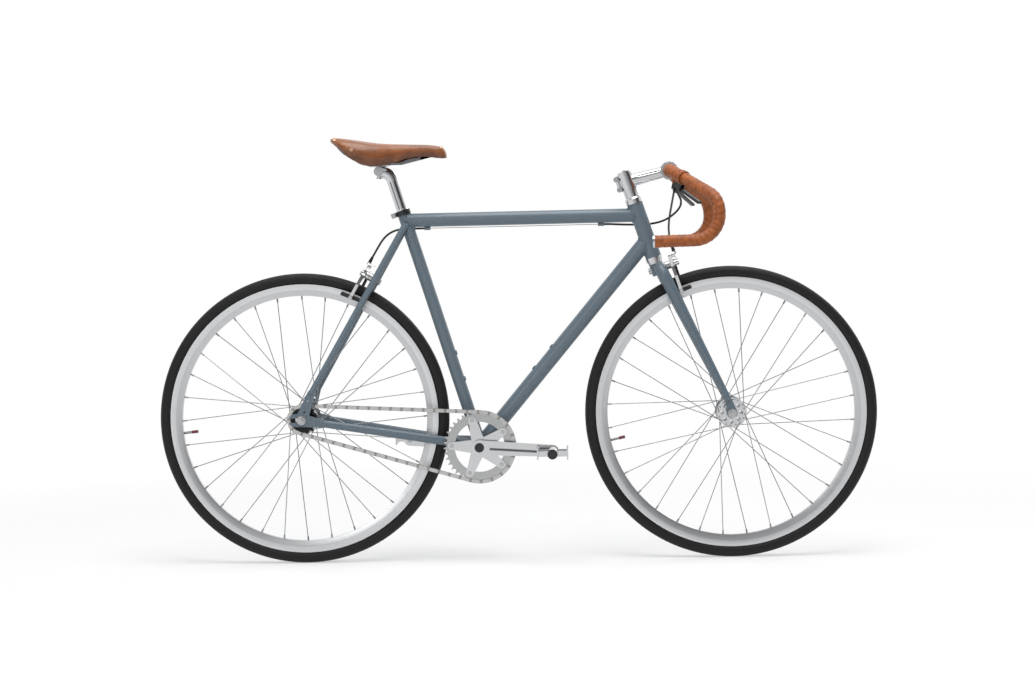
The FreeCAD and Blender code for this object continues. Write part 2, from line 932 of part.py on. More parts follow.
def rim(x, lines, valve_angle):
    half = rim_width / 2
    bed = rim_bed_width / 2
    inside = half - rim_hook_thickness
    track = rim_outer_radius - rim_track_height
    well = rim_outer_radius - rim_well_depth
    right = [
        (rim_inner_radius, -bed), (track, -half), (rim_outer_radius, -half),
        (rim_outer_radius, -inside), (well, -inside),
    ]
    left = [(radius, -y) for radius, y in reversed(right)]
    points = [vec(x + radius, y, axle_z) for radius, y in right + left]
    body = turned(flat_face(points), x)
    room = [(rim_inner_radius + rim_wall, -bed + rim_wall), (track, -inside), (well - rim_wall, -inside)]
    room += [(radius, -y) for radius, y in reversed(room)]
    holes = [turned(flat_face([vec(x + radius, y, axle_z) for radius, y in room]), x)]
    for head, start, end in lines:
        along = unit(end - start)
        holes.append(rod(end - along * nipple_length, end + along * seat_gap, nipple_radius + seat_gap))
    valve_start = polar(x, axle_z, rim_inner_radius - overrun, valve_angle)
    valve_end = polar(x, axle_z, rim_outer_radius, valve_angle)
    holes.append(rod(valve_start, valve_end, valve_radius + seat_gap))
    return body.cut(holes)


def disc_face(x, radius):
    centre = vec(x + tyre_centre_radius, 0, axle_z)
    return Part.Face(Part.Wire(Part.makeCircle(radius, centre, vec(0, 0, 1))))


def tyre(x):
    outer = disc_face(x, tyre_width / 2)
    inner = disc_face(x, tyre_width / 2 - tyre_wall)
    bead_outer = rim_width / 2 - rim_hook_thickness - seat_gap
    bead_inner = bead_outer - tyre_bead_width
    low = x + rim_outer_radius - tyre_bead_depth
    high = x + tyre_centre_radius

    def panel(y_from, y_to, top):
        return flat_face([vec(low, y_from, axle_z), vec(top, y_from, axle_z),
                          vec(top, y_to, axle_z), vec(low, y_to, axle_z)])

    edge = x + rim_outer_radius + seat_gap
    keep = flat_face([vec(edge, -tyre_width, axle_z), vec(edge + wheel_radius, -tyre_width, axle_z),
                      vec(edge + wheel_radius, tyre_width, axle_z), vec(edge, tyre_width, axle_z)])
    section = outer.common(keep).fuse(panel(-bead_outer, bead_outer, edge + seat_gap)).removeSplitter()
    section = section.cut(inner).cut(panel(-bead_inner, bead_inner, high))
    return turned(section.Faces[0], x)


def inner_tube(x, valve_angle):
    radius = tyre_width / 2 - tyre_wall - seat_gap
    body = turned(disc_face(x, radius), x)
    room = turned(disc_face(x, radius - inner_tube_wall), x)
    tip = rim_inner_radius - valve_length
    tip_point = polar(x, axle_z, tip, valve_angle)
    cap_point = polar(x, axle_z, tip + valve_cap_length, valve_angle)
    foot_point = polar(x, axle_z, tyre_centre_radius, valve_angle)
    stem = rod(tip_point, foot_point, valve_radius).fuse(rod(tip_point, cap_point, valve_cap_radius))
    bore = rod(polar(x, axle_z, tip - overrun, valve_angle), foot_point, valve_bore_radius)
    return body.fuse(stem).cut(room).cut(bore).removeSplitter()


# Each spoke runs from a hole in a hub flange to its nipple in the rim
def spoke_lines(x, valve_angle, flange_offset):
    lines = []
    step = 360 / spoke_count
    lead = 2 * spoke_crosses * step
    face = flange_thickness / 2
    for index in range(spoke_count):
        side = -1 if index % 2 == 0 else 1
        outward = 1 if (index // 2) % 2 == 0 else -1
        rim_angle = valve_angle + step * (index + 1 / 2)
        hub_angle = rim_angle + lead * outward
        stand = face + spoke_radius + (spoke_lift if outward > 0 else seat_gap)
        start = polar(x, axle_z, flange_hole_circle, hub_angle, side * (flange_offset + stand * outward))
        head_y = side * (flange_offset - (face + seat_gap) * outward)
        end = polar(x, axle_z, rim_inner_radius + nipple_depth, rim_angle, side * spoke_rim_offset)
        lines.append((vec(start.x, head_y, start.z), start, end))
    return lines


def spokes(lines):
    solids = []
    for head, start, end in lines:
        along = unit(end - start)
        wire = bent_rod([head, start, end], [spoke_elbow_radius], spoke_radius)
        cap = rod(head - unit(start - head) * spoke_head_height, head, spoke_head_radius)
        nipple = rod(end - along * nipple_length, end, nipple_radius)
        solids.append(wire.fuse(cap).fuse(nipple).removeSplitter())
    return solids


# Hub shells with high, windowed flanges, turning on bearings round the fixed axles
def hub_shell(x, lines, flange_offset, right_end, left_end, axle_radius):
    body = across(x, axle_z, -right_end, left_end, hub_barrel_radius)
    holes = [across(x, axle_z, -right_end - overrun, left_end + overrun, axle_radius + running_gap)]
    for end, inward in ((-right_end, 1), (left_end, -1)):
        seat = end + inward * hub_bearing_width
        holes.append(across(x, axle_z, end - inward * overrun, seat, hub_bearing_radius))
    for side in (-1, 1):
        inner = side * (flange_offset - flange_thickness / 2)
        outer = side * (flange_offset + flange_thickness / 2)
        body = body.fuse(across(x, axle_z, inner, outer, flange_radius))
        for index in range(flange_window_count):
            centre = polar(x, axle_z, flange_window_circle, 360 / flange_window_count * index)
            holes.append(across(centre.x, centre.z, inner - side * overrun, outer + side * overrun,
                                flange_window_radius))
    for head, start, end in lines:
        side = math.copysign(1, start.y)
        inner = side * (flange_offset - flange_thickness)
        outer = side * (flange_offset + flange_thickness)
        holes.append(across(start.x, start.z, inner, outer, flange_hole_radius))
    return body.cut(holes).removeSplitter()


def hub_bearings(x, right_end, left_end, axle_radius):
    rings = []
    for end, inward in ((-right_end, 1), (left_end, -1)):
        start = vec(x, end, axle_z)
        stop = vec(x, end + inward * hub_bearing_width, axle_z)
        rings.append(ring(start, stop, hub_bearing_radius - slip_fit, axle_radius + slip_fit))
    return rings


# A fixed axle with its cones between the bearings and the frame, and a nut and washer at each end
def axle_set(x, axle_radius, right_end, left_end, dropout_half, plate_thickness):
    pieces = []
    outer_face = dropout_half + plate_thickness
    full = outer_face + washer_height + nut_height
    reach = full + axle_end
    bar = across(x, axle_z, -full, full, axle_radius)
    for side, hub_end in ((-1, right_end), (1, left_end)):
        cone_start = side * (hub_end + running_gap)
        bar = bar.fuse(across(x, axle_z, cone_start, side * dropout_half, cone_radius))
        bar = bar.fuse(across(x, axle_z, side * full, side * reach, axle_radius - axle_end_step))
    pieces.append(bar.removeSplitter())
    for side in (-1, 1):
        washer_start = vec(x, side * outer_face, axle_z)
        washer_end = vec(x, side * (outer_face + washer_height), axle_z)
        nut = hexagon(washer_end, lateral * side, nut_flats_radius, nut_height)
        washer = rod(washer_start, washer_end, washer_radius)
        bore_end = vec(x, side * reach, axle_z)
        bore = rod(washer_start, bore_end, axle_radius + slip_fit)
        pieces.append(washer.fuse(nut).cut(bore).removeSplitter())
    return pieces


def hexagon(centre, axis, flats_radius, height):
    corner = flats_radius / math.cos(math.pi / 6)
    first = unit(axis.cross(vec(1, 0, 0)))
    second = unit(axis.cross(first))
    points = []
    for index in range(6):
        turn = math.pi / 3 * index
        points.append(centre + first * (corner * math.cos(turn)) + second * (corner * math.sin(turn)))
    return flat_face(points).extrude(unit(axis) * height)


# Closed chain: places of the pins round both sprockets, one pitch apart
chain_rise = math.asin((ring_pitch_radius - cog_pitch_radius) / chainstay_length)
chain_heading = math.atan2(axle_z - bracket_z, rear_axle_x - bracket_x)
ring_step = 2 * math.pi / ring_teeth
cog_step = 2 * math.pi / cog_teeth
ring_wrap_links = (math.pi + 2 * chain_rise) / ring_step
cog_wrap_links = (math.pi - 2 * chain_rise) / cog_step
run_links = (chain_links - ring_wrap_links - cog_wrap_links) / 2


def chain_place(links):
    up = chain_heading - math.pi / 2 + chain_rise
    down = chain_heading + math.pi / 2 - chain_rise
    ring_top = polar(bracket_x, bracket_z, ring_pitch_radius, math.degrees(up))
    cog_top = polar(rear_axle_x, axle_z, cog_pitch_radius, math.degrees(up))
    ring_low = polar(bracket_x, bracket_z, ring_pitch_radius, math.degrees(down))
    cog_low = polar(rear_axle_x, axle_z, cog_pitch_radius, math.degrees(down))
    if links < run_links:
        return ring_top + (cog_top - ring_top) * (links / run_links)
    links = links - run_links
    if links < cog_wrap_links:
        turn = up + links * cog_step
        return polar(rear_axle_x, axle_z, cog_pitch_radius, math.degrees(turn))
    links = links - cog_wrap_links
    if links < run_links:
        return cog_low + (ring_low - cog_low) * (links / run_links)
    links = links - run_links
    turn = down + links * ring_step
    return polar(bracket_x, bracket_z, ring_pitch_radius, math.degrees(turn))


def link_shapes():
    plate = two_circle_bar((0, 0, link_plate_height / 2), (chain_pitch, 0, link_plate_height / 2), 0,
                           link_plate_thickness)
    inner_face = chain_inner_width / 2
    outer_face = inner_face + link_plate_thickness + link_plate_gap
    pin_end = outer_face + link_plate_thickness + pin_stand
    inner = []
    outer = []
    for pieces, face in ((inner, inner_face), (outer, outer_face)):
        for low in (face, -face - link_plate_thickness):
            layer = plate.copy()
            layer.translate(vec(0, 0, low))
            pieces.append(layer)
    bores = []
    for x in (0, chain_pitch):
        inner.append(Part.makeCylinder(roller_radius, chain_inner_width, vec(x, 0, -inner_face)))
        outer.append(Part.makeCylinder(pin_radius, pin_end * 2, vec(x, 0, -pin_end)))
        bores.append(Part.makeCylinder(roller_bore_radius, pin_end * 2, vec(x, 0, -pin_end)))
    return fused(inner).cut(bores), fused(outer)


def chain():
    shapes = link_shapes()
    links = []
    for index in range(chain_links):
        start = chain_place(index)
        end = chain_place((index + 1) % chain_links)
        middle = (start + end) * (1 / 2)
        along = unit(end - start)
        origin = middle - along * (chain_pitch / 2) - lateral * chain_line
        links.append(placed(shapes[index % 2], frame_at(origin, along, lateral.cross(along), lateral)))
    return links


# Toothed discs cut to seat the chain's rollers
def toothed_disc(x, z, teeth, pitch_radius, phase, thickness):
    lean = math.radians(tooth_flank_angle)
    tip = pitch_radius + tooth_height
    edges = []
    step = 2 * math.pi / teeth
    y = -chain_line - thickness / 2
    gaps = []
    for index in range(teeth):
        turn = phase + step * index
        out = vec(math.cos(turn), 0, math.sin(turn))
        side = vec(-math.sin(turn), 0, math.cos(turn))
        seat = out * pitch_radius
        low = seat - out * tooth_seat_radius
        points = []
        for sign in (-1, 1):
            touch = seat + (side * (sign * math.cos(lean)) - out * math.sin(lean)) * tooth_seat_radius
            flank = out * math.cos(lean) + side * (sign * math.sin(lean))
            half = touch.dot(flank)
            run = math.sqrt(half ** 2 - touch.dot(touch) + tip ** 2) - half
            points.append((touch, touch + flank * run))
        gaps.append((points[0][1], points[0][0], low, points[1][0], points[1][1]))
    at = vec(x, y, z)
    for gap, following in zip(gaps, gaps[1:] + gaps[:1]):
        edges.append(Part.makeLine(at + gap[0], at + gap[1]))
        edges.append(Part.Arc(at + gap[1], at + gap[2], at + gap[3]).toShape())
        edges.append(Part.makeLine(at + gap[3], at + gap[4]))
        edges.append(Part.makeLine(at + gap[4], at + following[0]))
    return Part.Face(Part.Wire(edges)).extrude(vec(0, thickness, 0))


def roller_phase(centre, first_links):
    place = chain_place(math.ceil(first_links))
    return math.atan2(place.z - centre.z, place.x - centre.x)


ring_phase = roller_phase(bracket, run_links * 2 + cog_wrap_links)
cog_phase = roller_phase(rear_axle, run_links)
ring_outer_face = -chain_line - ring_thickness / 2
ring_inner_face = -chain_line + ring_thickness / 2


def bolt_circle():
    turn = 360 / spider_arms
    angles = [crank_angle + turn * (index + 1 / 2) for index in range(spider_arms)]
    return [polar(bracket_x, bracket_z, bolt_circle_radius, angle) for angle in angles]


def chainring():
    disc = toothed_disc(bracket_x, bracket_z, ring_teeth, ring_pitch_radius, ring_phase, ring_thickness)
    low = ring_outer_face - overrun
    high = ring_inner_face + overrun
    holes = [across(bracket_x, bracket_z, low, high, ring_inner_radius)]
    holes += [across(at.x, at.z, low, high, chainring_bolt_radius + slip_fit) for at in bolt_circle()]
    body = disc.cut(holes[:1])
    tabs = [across(at.x, at.z, ring_outer_face, ring_inner_face, spider_tab_radius)
            for at in bolt_circle()]
    body = fused([body] + tabs).cut(holes[1:])
    spider_face = ring_outer_face - spider_thickness
    bolts = []
    for at in bolt_circle():
        shank = across(at.x, at.z, spider_face, ring_inner_face, chainring_bolt_radius)
        for face, way in ((spider_face, -1), (ring_inner_face, 1)):
            head_face = face + way * chainring_bolt_head_height
            head = across(at.x, at.z, face, head_face, chainring_bolt_head_radius)
            shank = shank.fuse(head)
        bolts.append(shank.removeSplitter())
    return [body] + bolts


def track_cog():
    disc = toothed_disc(rear_axle_x, axle_z, cog_teeth, cog_pitch_radius, cog_phase, cog_thickness)
    face = -chain_line - cog_thickness / 2
    hub_face = -chain_line + cog_thickness / 2 + cog_shoulder
    cog = disc.fuse(across(rear_axle_x, axle_z, face, hub_face, lockring_radius))
    bore_radius = cog_seat_radius + slip_fit
    cog = cog.cut(across(rear_axle_x, axle_z, face - overrun, hub_face + overrun, bore_radius))
    lock = ring(vec(rear_axle_x, face, axle_z), vec(rear_axle_x, face - lockring_thickness, axle_z),
                lockring_radius, cog_lock_radius + slip_fit)
    return [cog.removeSplitter(), lock]


def rear_hub_shell(lines):
    body = hub_shell(rear_axle_x, lines, rear_flange_offset, *rear_hub_ends)
    seat_end = -chain_line - cog_thickness / 2
    seat = ring(vec(rear_axle_x, -rear_flange_offset, axle_z), vec(rear_axle_x, seat_end, axle_z),
                cog_seat_radius, hub_bearing_radius)
    lock = ring(vec(rear_axle_x, seat_end, axle_z), vec(rear_axle_x, -rear_hub_right, axle_z),
                cog_lock_radius, hub_bearing_radius)
    return body.fuse(seat).fuse(lock).removeSplitter()


# Bottom bracket, cranks and pedals
def bottom_bracket():
    pieces = []
    for side in (-1, 1):
        face = side * shell_length / 2
        inner = face - side * shell_cup_depth
        outer = face + side * shell_cup_flange
        cup = across(bracket_x, bracket_z, inner, outer, shell_bore_radius - slip_fit)
        cup = cup.fuse(across(bracket_x, bracket_z, face, outer, shell_cup_radius))
        cup = cup.cut(across(bracket_x, bracket_z, inner - side * overrun, outer + side * overrun,
                             shell_bearing_radius))
        pieces.append(cup.removeSplitter())
        pieces.append(ring(vec(bracket_x, inner, bracket_z), vec(bracket_x, outer, bracket_z),
                           shell_bearing_radius - slip_fit, spindle_radius + slip_fit))
    return pieces


crank_outer_face = crank_inner_face + crank_thickness
right_pedal = polar(bracket_x, bracket_z, crank_length, crank_angle)
left_pedal = polar(bracket_x, bracket_z, crank_length, crank_angle + 180)
bracket_view = frame_at(bracket, vec(1, 0, 0), vec(0, 0, 1), vec(0, -1, 0))


def crank_arm(pedal_point, side):
    eye = (pedal_point.x - bracket_x, pedal_point.z - bracket_z, crank_eye_radius)
    boss = (0, 0, crank_boss_radius)
    low = crank_inner_face if side < 0 else -crank_outer_face
    arm = placed(strip([boss, eye], low, low + crank_thickness), bracket_view)
    reach = (crank_outer_face + overrun) * side
    arm = arm.cut(across(bracket_x, bracket_z, 0, reach, spindle_radius + slip_fit))
    return arm.cut(across(pedal_point.x, pedal_point.z, 0, reach, pedal_axle_radius + slip_fit))


def right_crank():
    face = ring_outer_face - spider_thickness
    arms = []
    for at in bolt_circle():
        tab = (at.x - bracket_x, at.z - bracket_z, spider_tab_radius)
        arms.append(strip([(0, 0, crank_boss_radius), tab], -ring_outer_face, -face))
    spider = placed(fused(arms), bracket_view)
    boss = across(bracket_x, bracket_z, face, -crank_inner_face, crank_boss_radius)
    spider = spider.fuse(boss)
    holes = [across(bracket_x, bracket_z, 0, -crank_inner_face, spindle_radius + slip_fit)]
    bolt_bore = chainring_bolt_radius + slip_fit
    holes += [across(at.x, at.z, 0, -crank_inner_face, bolt_bore) for at in bolt_circle()]
    return spider.cut(holes).fuse(crank_arm(right_pedal, -1)).removeSplitter()


def crank_axles():
    half = crank_outer_face - spindle_end_recess
    pieces = [across(bracket_x, bracket_z, -half, half, spindle_radius)]
    for at, side in ((right_pedal, -1), (left_pedal, 1)):
        end = crank_outer_face + pedal_start + pedal_length - running_gap
        pieces.append(across(at.x, at.z, side * crank_inner_face, side * end, pedal_axle_radius))
    return pieces


def crank_caps():
    cap_face = crank_outer_face + crank_cap_height
    return [across(bracket_x, bracket_z, side * crank_outer_face, side * cap_face, crank_cap_radius)
            for side in (-1, 1)]


# A pedal: barrel on the axle, two toothed cage plates, webs between them and a dust cap
def pedal(at, side):
    start = crank_outer_face + pedal_start
    end = start + pedal_length
    barrel = across(at.x, at.z, side * start, side * end, pedal_barrel_radius)
    middle = start + pedal_length / 2
    half_width = pedal_cage_width / 2
    half_height = pedal_cage_height / 2
    pieces = [barrel]
    for way in (-1, 1):
        x = at.x + way * pedal_cage_half
        low = vec(x - pedal_cage_thickness / 2, -half_width, at.z - half_height)
        high = vec(x + pedal_cage_thickness / 2, half_width, at.z + half_height)
        plate = box_between(low, high)
        pitch = pedal_cage_width / pedal_tooth_count
        notches = []
        for index in range(pedal_tooth_count):
            y = -half_width + pitch * (index + 1 / 2)
            for z in (at.z - half_height, at.z + half_height):
                reach = vec(pedal_cage_thickness, 0, 0)
                notches.append(rod(vec(x, y, z) - reach, vec(x, y, z) + reach, pedal_tooth_depth))
        plate = plate.cut(notches)
        plate.translate(vec(0, side * middle, 0))
        pieces.append(plate)
    for y in (middle - half_width + pedal_web_thickness, middle + half_width - pedal_web_thickness * 2):
        pieces.append(web(at, side, y))
    body = fused(pieces)
    bore = across(at.x, at.z, side * (start - overrun), side * end, pedal_axle_radius + slip_fit)
    cap = across(at.x, at.z, side * end, side * (end + pedal_cap_height), pedal_cap_radius)
    return [body.cut(bore), cap]


def web(at, side, y):
    low = vec(at.x - pedal_cage_half, side * y, at.z - pedal_web_height / 2)
    high = vec(at.x + pedal_cage_half, side * (y + pedal_web_thickness), at.z + pedal_web_height / 2)
    return box_between(vec(low.x, min(low.y, high.y), low.z), vec(high.x, max(low.y, high.y), high.z))


# Seatpost with its head bent back, and the clamp that holds the saddle rails
seatpost_corner = seat_top + seat_up * seatpost_showing
post_head = seatpost_corner + vec(-head_setback, 0, head_rise)
rail_z = post_head.z + head_barrel_radius + clamp_plate_height


def seatpost():
    low = seat_top - seat_up * seatpost_insertion
    post = bent_rod([low, seatpost_corner, post_head], [seatpost_bend_radius], seatpost_radius)
    bore = rod(low - seat_up * overrun, seatpost_corner - seat_up * seatpost_bend_radius,
               seatpost_radius - seatpost_wall)
    half = head_barrel_width / 2
    barrel = across(post_head.x, post_head.z, -half, half, head_barrel_radius)
    top = post_head.z + head_barrel_radius
    trim_far = vec(post_head.x + half, half, top + saddle_height)
    trim = box_between(vec(post_head.x - half, -half, top), trim_far)
    seat = vec(post_head.x, 0, post_head.z - head_barrel_radius)
    spot = rod(seat, seat - vec(0, 0, seatpost_radius), clamp_bolt_head_radius + slip_fit)
    hole = rod(seat, vec(post_head.x, 0, top + overrun), clamp_bolt_radius + slip_fit)
    return post.cut(bore).fuse(barrel).cut([trim, spot, hole]).removeSplitter()


def rail_line(side, grow):
    half = side * rail_spacing / 2
    points = [
        vec(saddle_x + saddle_length * rail_rear_share, half * rail_rear_width_share,
            saddle_z + saddle_height * rail_rear_rise_share),
        vec(saddle_x + saddle_length * rail_flat_rear_share, half, rail_z),
        vec(saddle_x + saddle_length * rail_flat_front_share, half, rail_z),
        vec(saddle_x + saddle_length * rail_front_share, half * rail_front_width_share,
            saddle_z + saddle_height * rail_front_rise_share),
    ]
    return bent_rod(points, [rail_bend_radius] * 2, rail_radius + grow)


def saddle_clamp():
    half_width = rail_spacing / 2 + rail_radius + clamp_plate_margin
    half_length = clamp_plate_length / 2
    pieces = []
    grooves = [rail_line(side, slip_fit) for side in (-1, 1)]
    hole = rod(vec(post_head.x, 0, post_head.z), vec(post_head.x, 0, rail_z + saddle_height),
               clamp_bolt_radius + slip_fit)
    for low in (rail_z - clamp_plate_height, rail_z):
        plate = box_between(vec(post_head.x - half_length, -half_width, low),
                            vec(post_head.x + half_length, half_width, low + clamp_plate_height))
        pieces.append(plate.cut(grooves + [hole]))
    top = vec(post_head.x, 0, rail_z + clamp_plate_height)
    low = vec(post_head.x, 0, post_head.z - head_barrel_radius)
    bolt = rod(low, top, clamp_bolt_radius)
    bolt = bolt.fuse(rod(top, top + vec(0, 0, clamp_bolt_head_height), clamp_bolt_head_radius))
    bolt = bolt.fuse(rod(low - vec(0, 0, clamp_bolt_head_height), low, clamp_bolt_head_radius))
    return pieces + [bolt.removeSplitter()]


# Saddle: a leather cover lofted through cross-sections, steel plates at nose and rear, rails and rivets
saddle_x = post_head.x - saddle_rear_setback
saddle_z = rail_z - saddle_skirt_drop


def saddle_wire(index, wall):
    x = saddle_x + saddle_length * saddle_station_shares[index]
    half = saddle_width / 2 * saddle_width_shares[index] - wall
    top = saddle_z + saddle_height * saddle_top_shares[index] - wall
    skirt = saddle_z + saddle_height * saddle_skirt_shares[index]
    low = skirt - (overrun if wall else 0)

    def at(width_share, height_share):
        return vec(x, half * width_share, skirt + (top - skirt) * height_share)

    right_low = vec(x, -half * saddle_tuck_share, low)
    left_low = vec(x, half * saddle_tuck_share, low)
    right_high = at(-saddle_crown_share, saddle_brow_share)
    left_high = at(saddle_crown_share, saddle_brow_share)
    edges = [
        Part.makeLine(left_low, right_low),
        Part.Arc(right_low, at(-1, saddle_bulge_share), right_high).toShape(),
        Part.Arc(right_high, at(0, 1), left_high).toShape(),
        Part.Arc(left_high, at(1, saddle_bulge_share), left_low).toShape(),
    ]
    return Part.Wire(edges)


def saddle_outer():
    return Part.makeLoft([saddle_wire(i, 0) for i in range(len(saddle_station_shares))], True, False)


def saddle_inner():
    stations = range(1, len(saddle_station_shares) - 1)
    return Part.makeLoft([saddle_wire(i, saddle_wall) for i in stations], True, False)


def rivet_line(side):
    x = saddle_x + saddle_length * rivet_place_share
    z = saddle_z + saddle_height * rivet_height_share
    edge = Part.makeLine(vec(x, 0, z), vec(x, side * saddle_width, z))
    reach = max(abs(vertex.Y) for vertex in saddle_outer().common(edge).Vertexes)
    return vec(x, side * (reach - saddle_wall / 2), z), vec(x, side * (reach + rivet_height), z)


def saddle_cover(rivets):
    return saddle_outer().cut(saddle_inner()).cut(rivets)


def saddle_rivets():
    return [rod(*rivet_line(side), rivet_radius) for side in (-1, 1)]


def saddle_rails():
    rails = [rail_line(side, 0) for side in (-1, 1)]
    room = saddle_inner().common(saddle_outer())
    nose_x = saddle_x + saddle_length * saddle_nose_plate_share
    rear_x = saddle_x + saddle_length * saddle_rear_plate_share
    low = vec(0, -saddle_width, saddle_z)
    high = vec(0, saddle_width, saddle_z + saddle_height)
    nose = room.common(box_between(low + vec(nose_x, 0, 0), high + vec(nose_x + saddle_length, 0, 0)))
    rear = room.common(box_between(low + vec(rear_x - saddle_length, 0, 0), high + vec(rear_x, 0, 0)))
    return rails + [nose.cut(rails), rear.cut(rails)]


# Stem with a split face plate, and its bolts
stem_middle = (stem_low + stem_high) * (1 / 2)
stem_along = vec(math.cos(math.radians(stem_rise_angle)), 0, math.sin(math.radians(stem_rise_angle)))
bar_centre = stem_middle + stem_along * stem_length
stem_view = frame_at(bar_centre, stem_along, lateral, stem_along.cross(lateral))
face_bolt_rise = (bar_clamp_radius + bar_sleeve_radius) / 2
face_bolt_seat = bar_clamp_radius / 2


def bar_clamp():
    half = bar_clamp_width / 2
    body = rod(vec(0, -half, 0), vec(0, half, 0), bar_clamp_radius)
    reach = half + overrun
    return body.cut(rod(vec(0, -reach, 0), vec(0, reach, 0), bar_sleeve_radius + slip_fit))


def face_bolts(radius, head_radius):
    bolts = []
    for y in (-face_bolt_offset, face_bolt_offset):
        for z in (-face_bolt_rise, face_bolt_rise):
            seat = vec(face_bolt_seat, y, z)
            shank = rod(vec(-face_bolt_seat, y, z), seat, radius)
            bolts.append(shank.fuse(rod(seat, seat + vec(face_bolt_head_height, 0, 0), head_radius)))
    return bolts


def pinch_bolts(radius, head_radius, half):
    bolts = []
    back = steer_front * -stem_ear_reach
    for step in (-1 / 2, 1 / 2):
        centre = stem_middle + steer_up * (pinch_bolt_spacing * step) + back
        shank = rod(centre - lateral * half, centre + lateral * half, radius)
        if head_radius:
            for side in (-1, 1):
                face = centre + lateral * (side * half)
                head_face = face + lateral * (side * face_bolt_head_height)
                shank = shank.fuse(rod(face, head_face, head_radius))
        bolts.append(shank)
    return bolts


def half_box(front):
    reach = bar_clamp_radius + overrun
    half = bar_clamp_width + overrun
    start = face_plate_gap / 2
    low_x, high_x = (start, reach) if front else (-start, reach)
    return box_between(vec(low_x, -half, -reach), vec(high_x, half, reach))


def stem():
    half = stem_ear_width / 2
    body = rod(stem_low, stem_high, stem_clamp_radius)
    neck = cone(stem_middle, bar_centre, stem_rear_radius, stem_front_radius)
    ears = pinch_bolts(stem_ear_radius, 0, half)
    root = rod(stem_middle - steer_up * (pinch_bolt_spacing / 2 + stem_ear_radius),
               stem_middle + steer_up * (pinch_bolt_spacing / 2 + stem_ear_radius), stem_ear_radius)
    root.translate(steer_front * -(stem_ear_reach - stem_ear_radius / 2))
    clamp = placed(bar_clamp(), stem_view)
    body = fused([body, neck, root, clamp] + ears)
    reach = steer_up * overrun
    steerer_bore = rod(stem_low - reach, stem_high + reach, steerer_radius + slip_fit)
    bar_bore = rod(bar_centre - lateral * bar_clamp_width, bar_centre + lateral * bar_clamp_width,
                   bar_sleeve_radius + slip_fit)
    slot_view = frame_at(stem_middle, steer_front, lateral, steer_up)
    slot_half = collar_slot / 2
    slot = box_between(vec(-stem_ear_reach - stem_ear_radius, -slot_half, -stem_clamp_height),
                       vec(0, slot_half, stem_clamp_height))
    cuts = [steerer_bore, bar_bore, placed(half_box(False), stem_view), placed(slot, slot_view)]
    cuts += [placed(bolt, stem_view)
             for bolt in face_bolts(face_bolt_radius + slip_fit, face_bolt_head_radius)]
    cuts += pinch_bolts(pinch_bolt_radius + slip_fit, 0, half + overrun)
    return body.cut(cuts).removeSplitter()


def stem_face_plate():
    plate = bar_clamp().common(half_box(True))
    holes = face_bolts(face_bolt_radius + slip_fit, face_bolt_head_radius + slip_fit)
    return placed(plate.cut(holes).removeSplitter(), stem_view)


def stem_bolts():
    bolts = [placed(bolt.removeSplitter(), stem_view)
             for bolt in face_bolts(face_bolt_radius, face_bolt_head_radius)]
    return bolts + pinch_bolts(pinch_bolt_radius, pinch_bolt_head_radius, stem_ear_width / 2)


# Drop bar, its leather wrap and end plugs
bar_shoulder = bar_centre + vec(0, -bar_centre_half, 0)
bar_corner = bar_centre + vec(bar_reach, -bar_half_width, -bar_ramp_drop)
bar_hook = bar_centre + vec(bar_reach, -bar_half_width, -bar_drop)
bar_end = bar_centre + vec(-bar_end_back, -bar_half_width, -bar_drop - bar_end_slope)
bar_bends = [bar_hook_lower_bend, bar_hook_upper_bend, bar_shoulder_bend]


def flipped(point):
    return vec(point.x, -point.y, point.z)


def handlebar():
    right = [bar_end, bar_hook, bar_corner, bar_shoulder]
    points = right + [flipped(point) for point in reversed(right)]
    bends = bar_bends + bar_bends[::-1]
    tube = bent_rod(points, bends, bar_radius)
    half = lateral * (wrap_start - seat_gap)
    sleeve = rod(bar_centre - half, bar_centre + half, bar_sleeve_radius)
    return tube.fuse(sleeve).cut(bent_rod(points, bends, bar_radius - bar_wall)).removeSplitter()


def bar_wrap():
    points = [bar_end, bar_hook, bar_corner, bar_shoulder, bar_centre - lateral * wrap_start]
    sleeve = bent_rod(points, bar_bends, bar_radius + wrap_thickness)
    sleeve = sleeve.cut(bent_rod(points, bar_bends, bar_radius + slip_fit))
    return [sleeve, mirrored(sleeve)]


def bar_plugs():
    out = unit(bar_end - bar_hook)
    plug = rod(bar_end, bar_end + out * plug_length, bar_radius + wrap_thickness)
    plug = plug.fuse(rod(bar_end - out * plug_depth, bar_end, bar_radius - bar_wall - slip_fit))
    plug = plug.removeSplitter()
    return [plug, mirrored(plug)]


# Brake levers: a band on the ramp carries two cheeks, and the blade turns on a pin between them
ramp = unit(bar_corner - bar_shoulder)
lever_down = unit(vec(0, 0, -1) + ramp * ramp.z)
lever_origin = bar_shoulder + ramp * lever_clamp_distance
lever_view = frame_at(lever_origin, ramp, lever_down, ramp.cross(lever_down))
band_radius = bar_radius + wrap_thickness + slip_fit * 2
cheek_inner = lever_blade_thickness / 2 + running_gap
cheek_outer = cheek_inner + lever_cheek_thickness
socket_start = lever_pivot_radius + running_gap
socket_reach = socket_start + lever_socket_radius


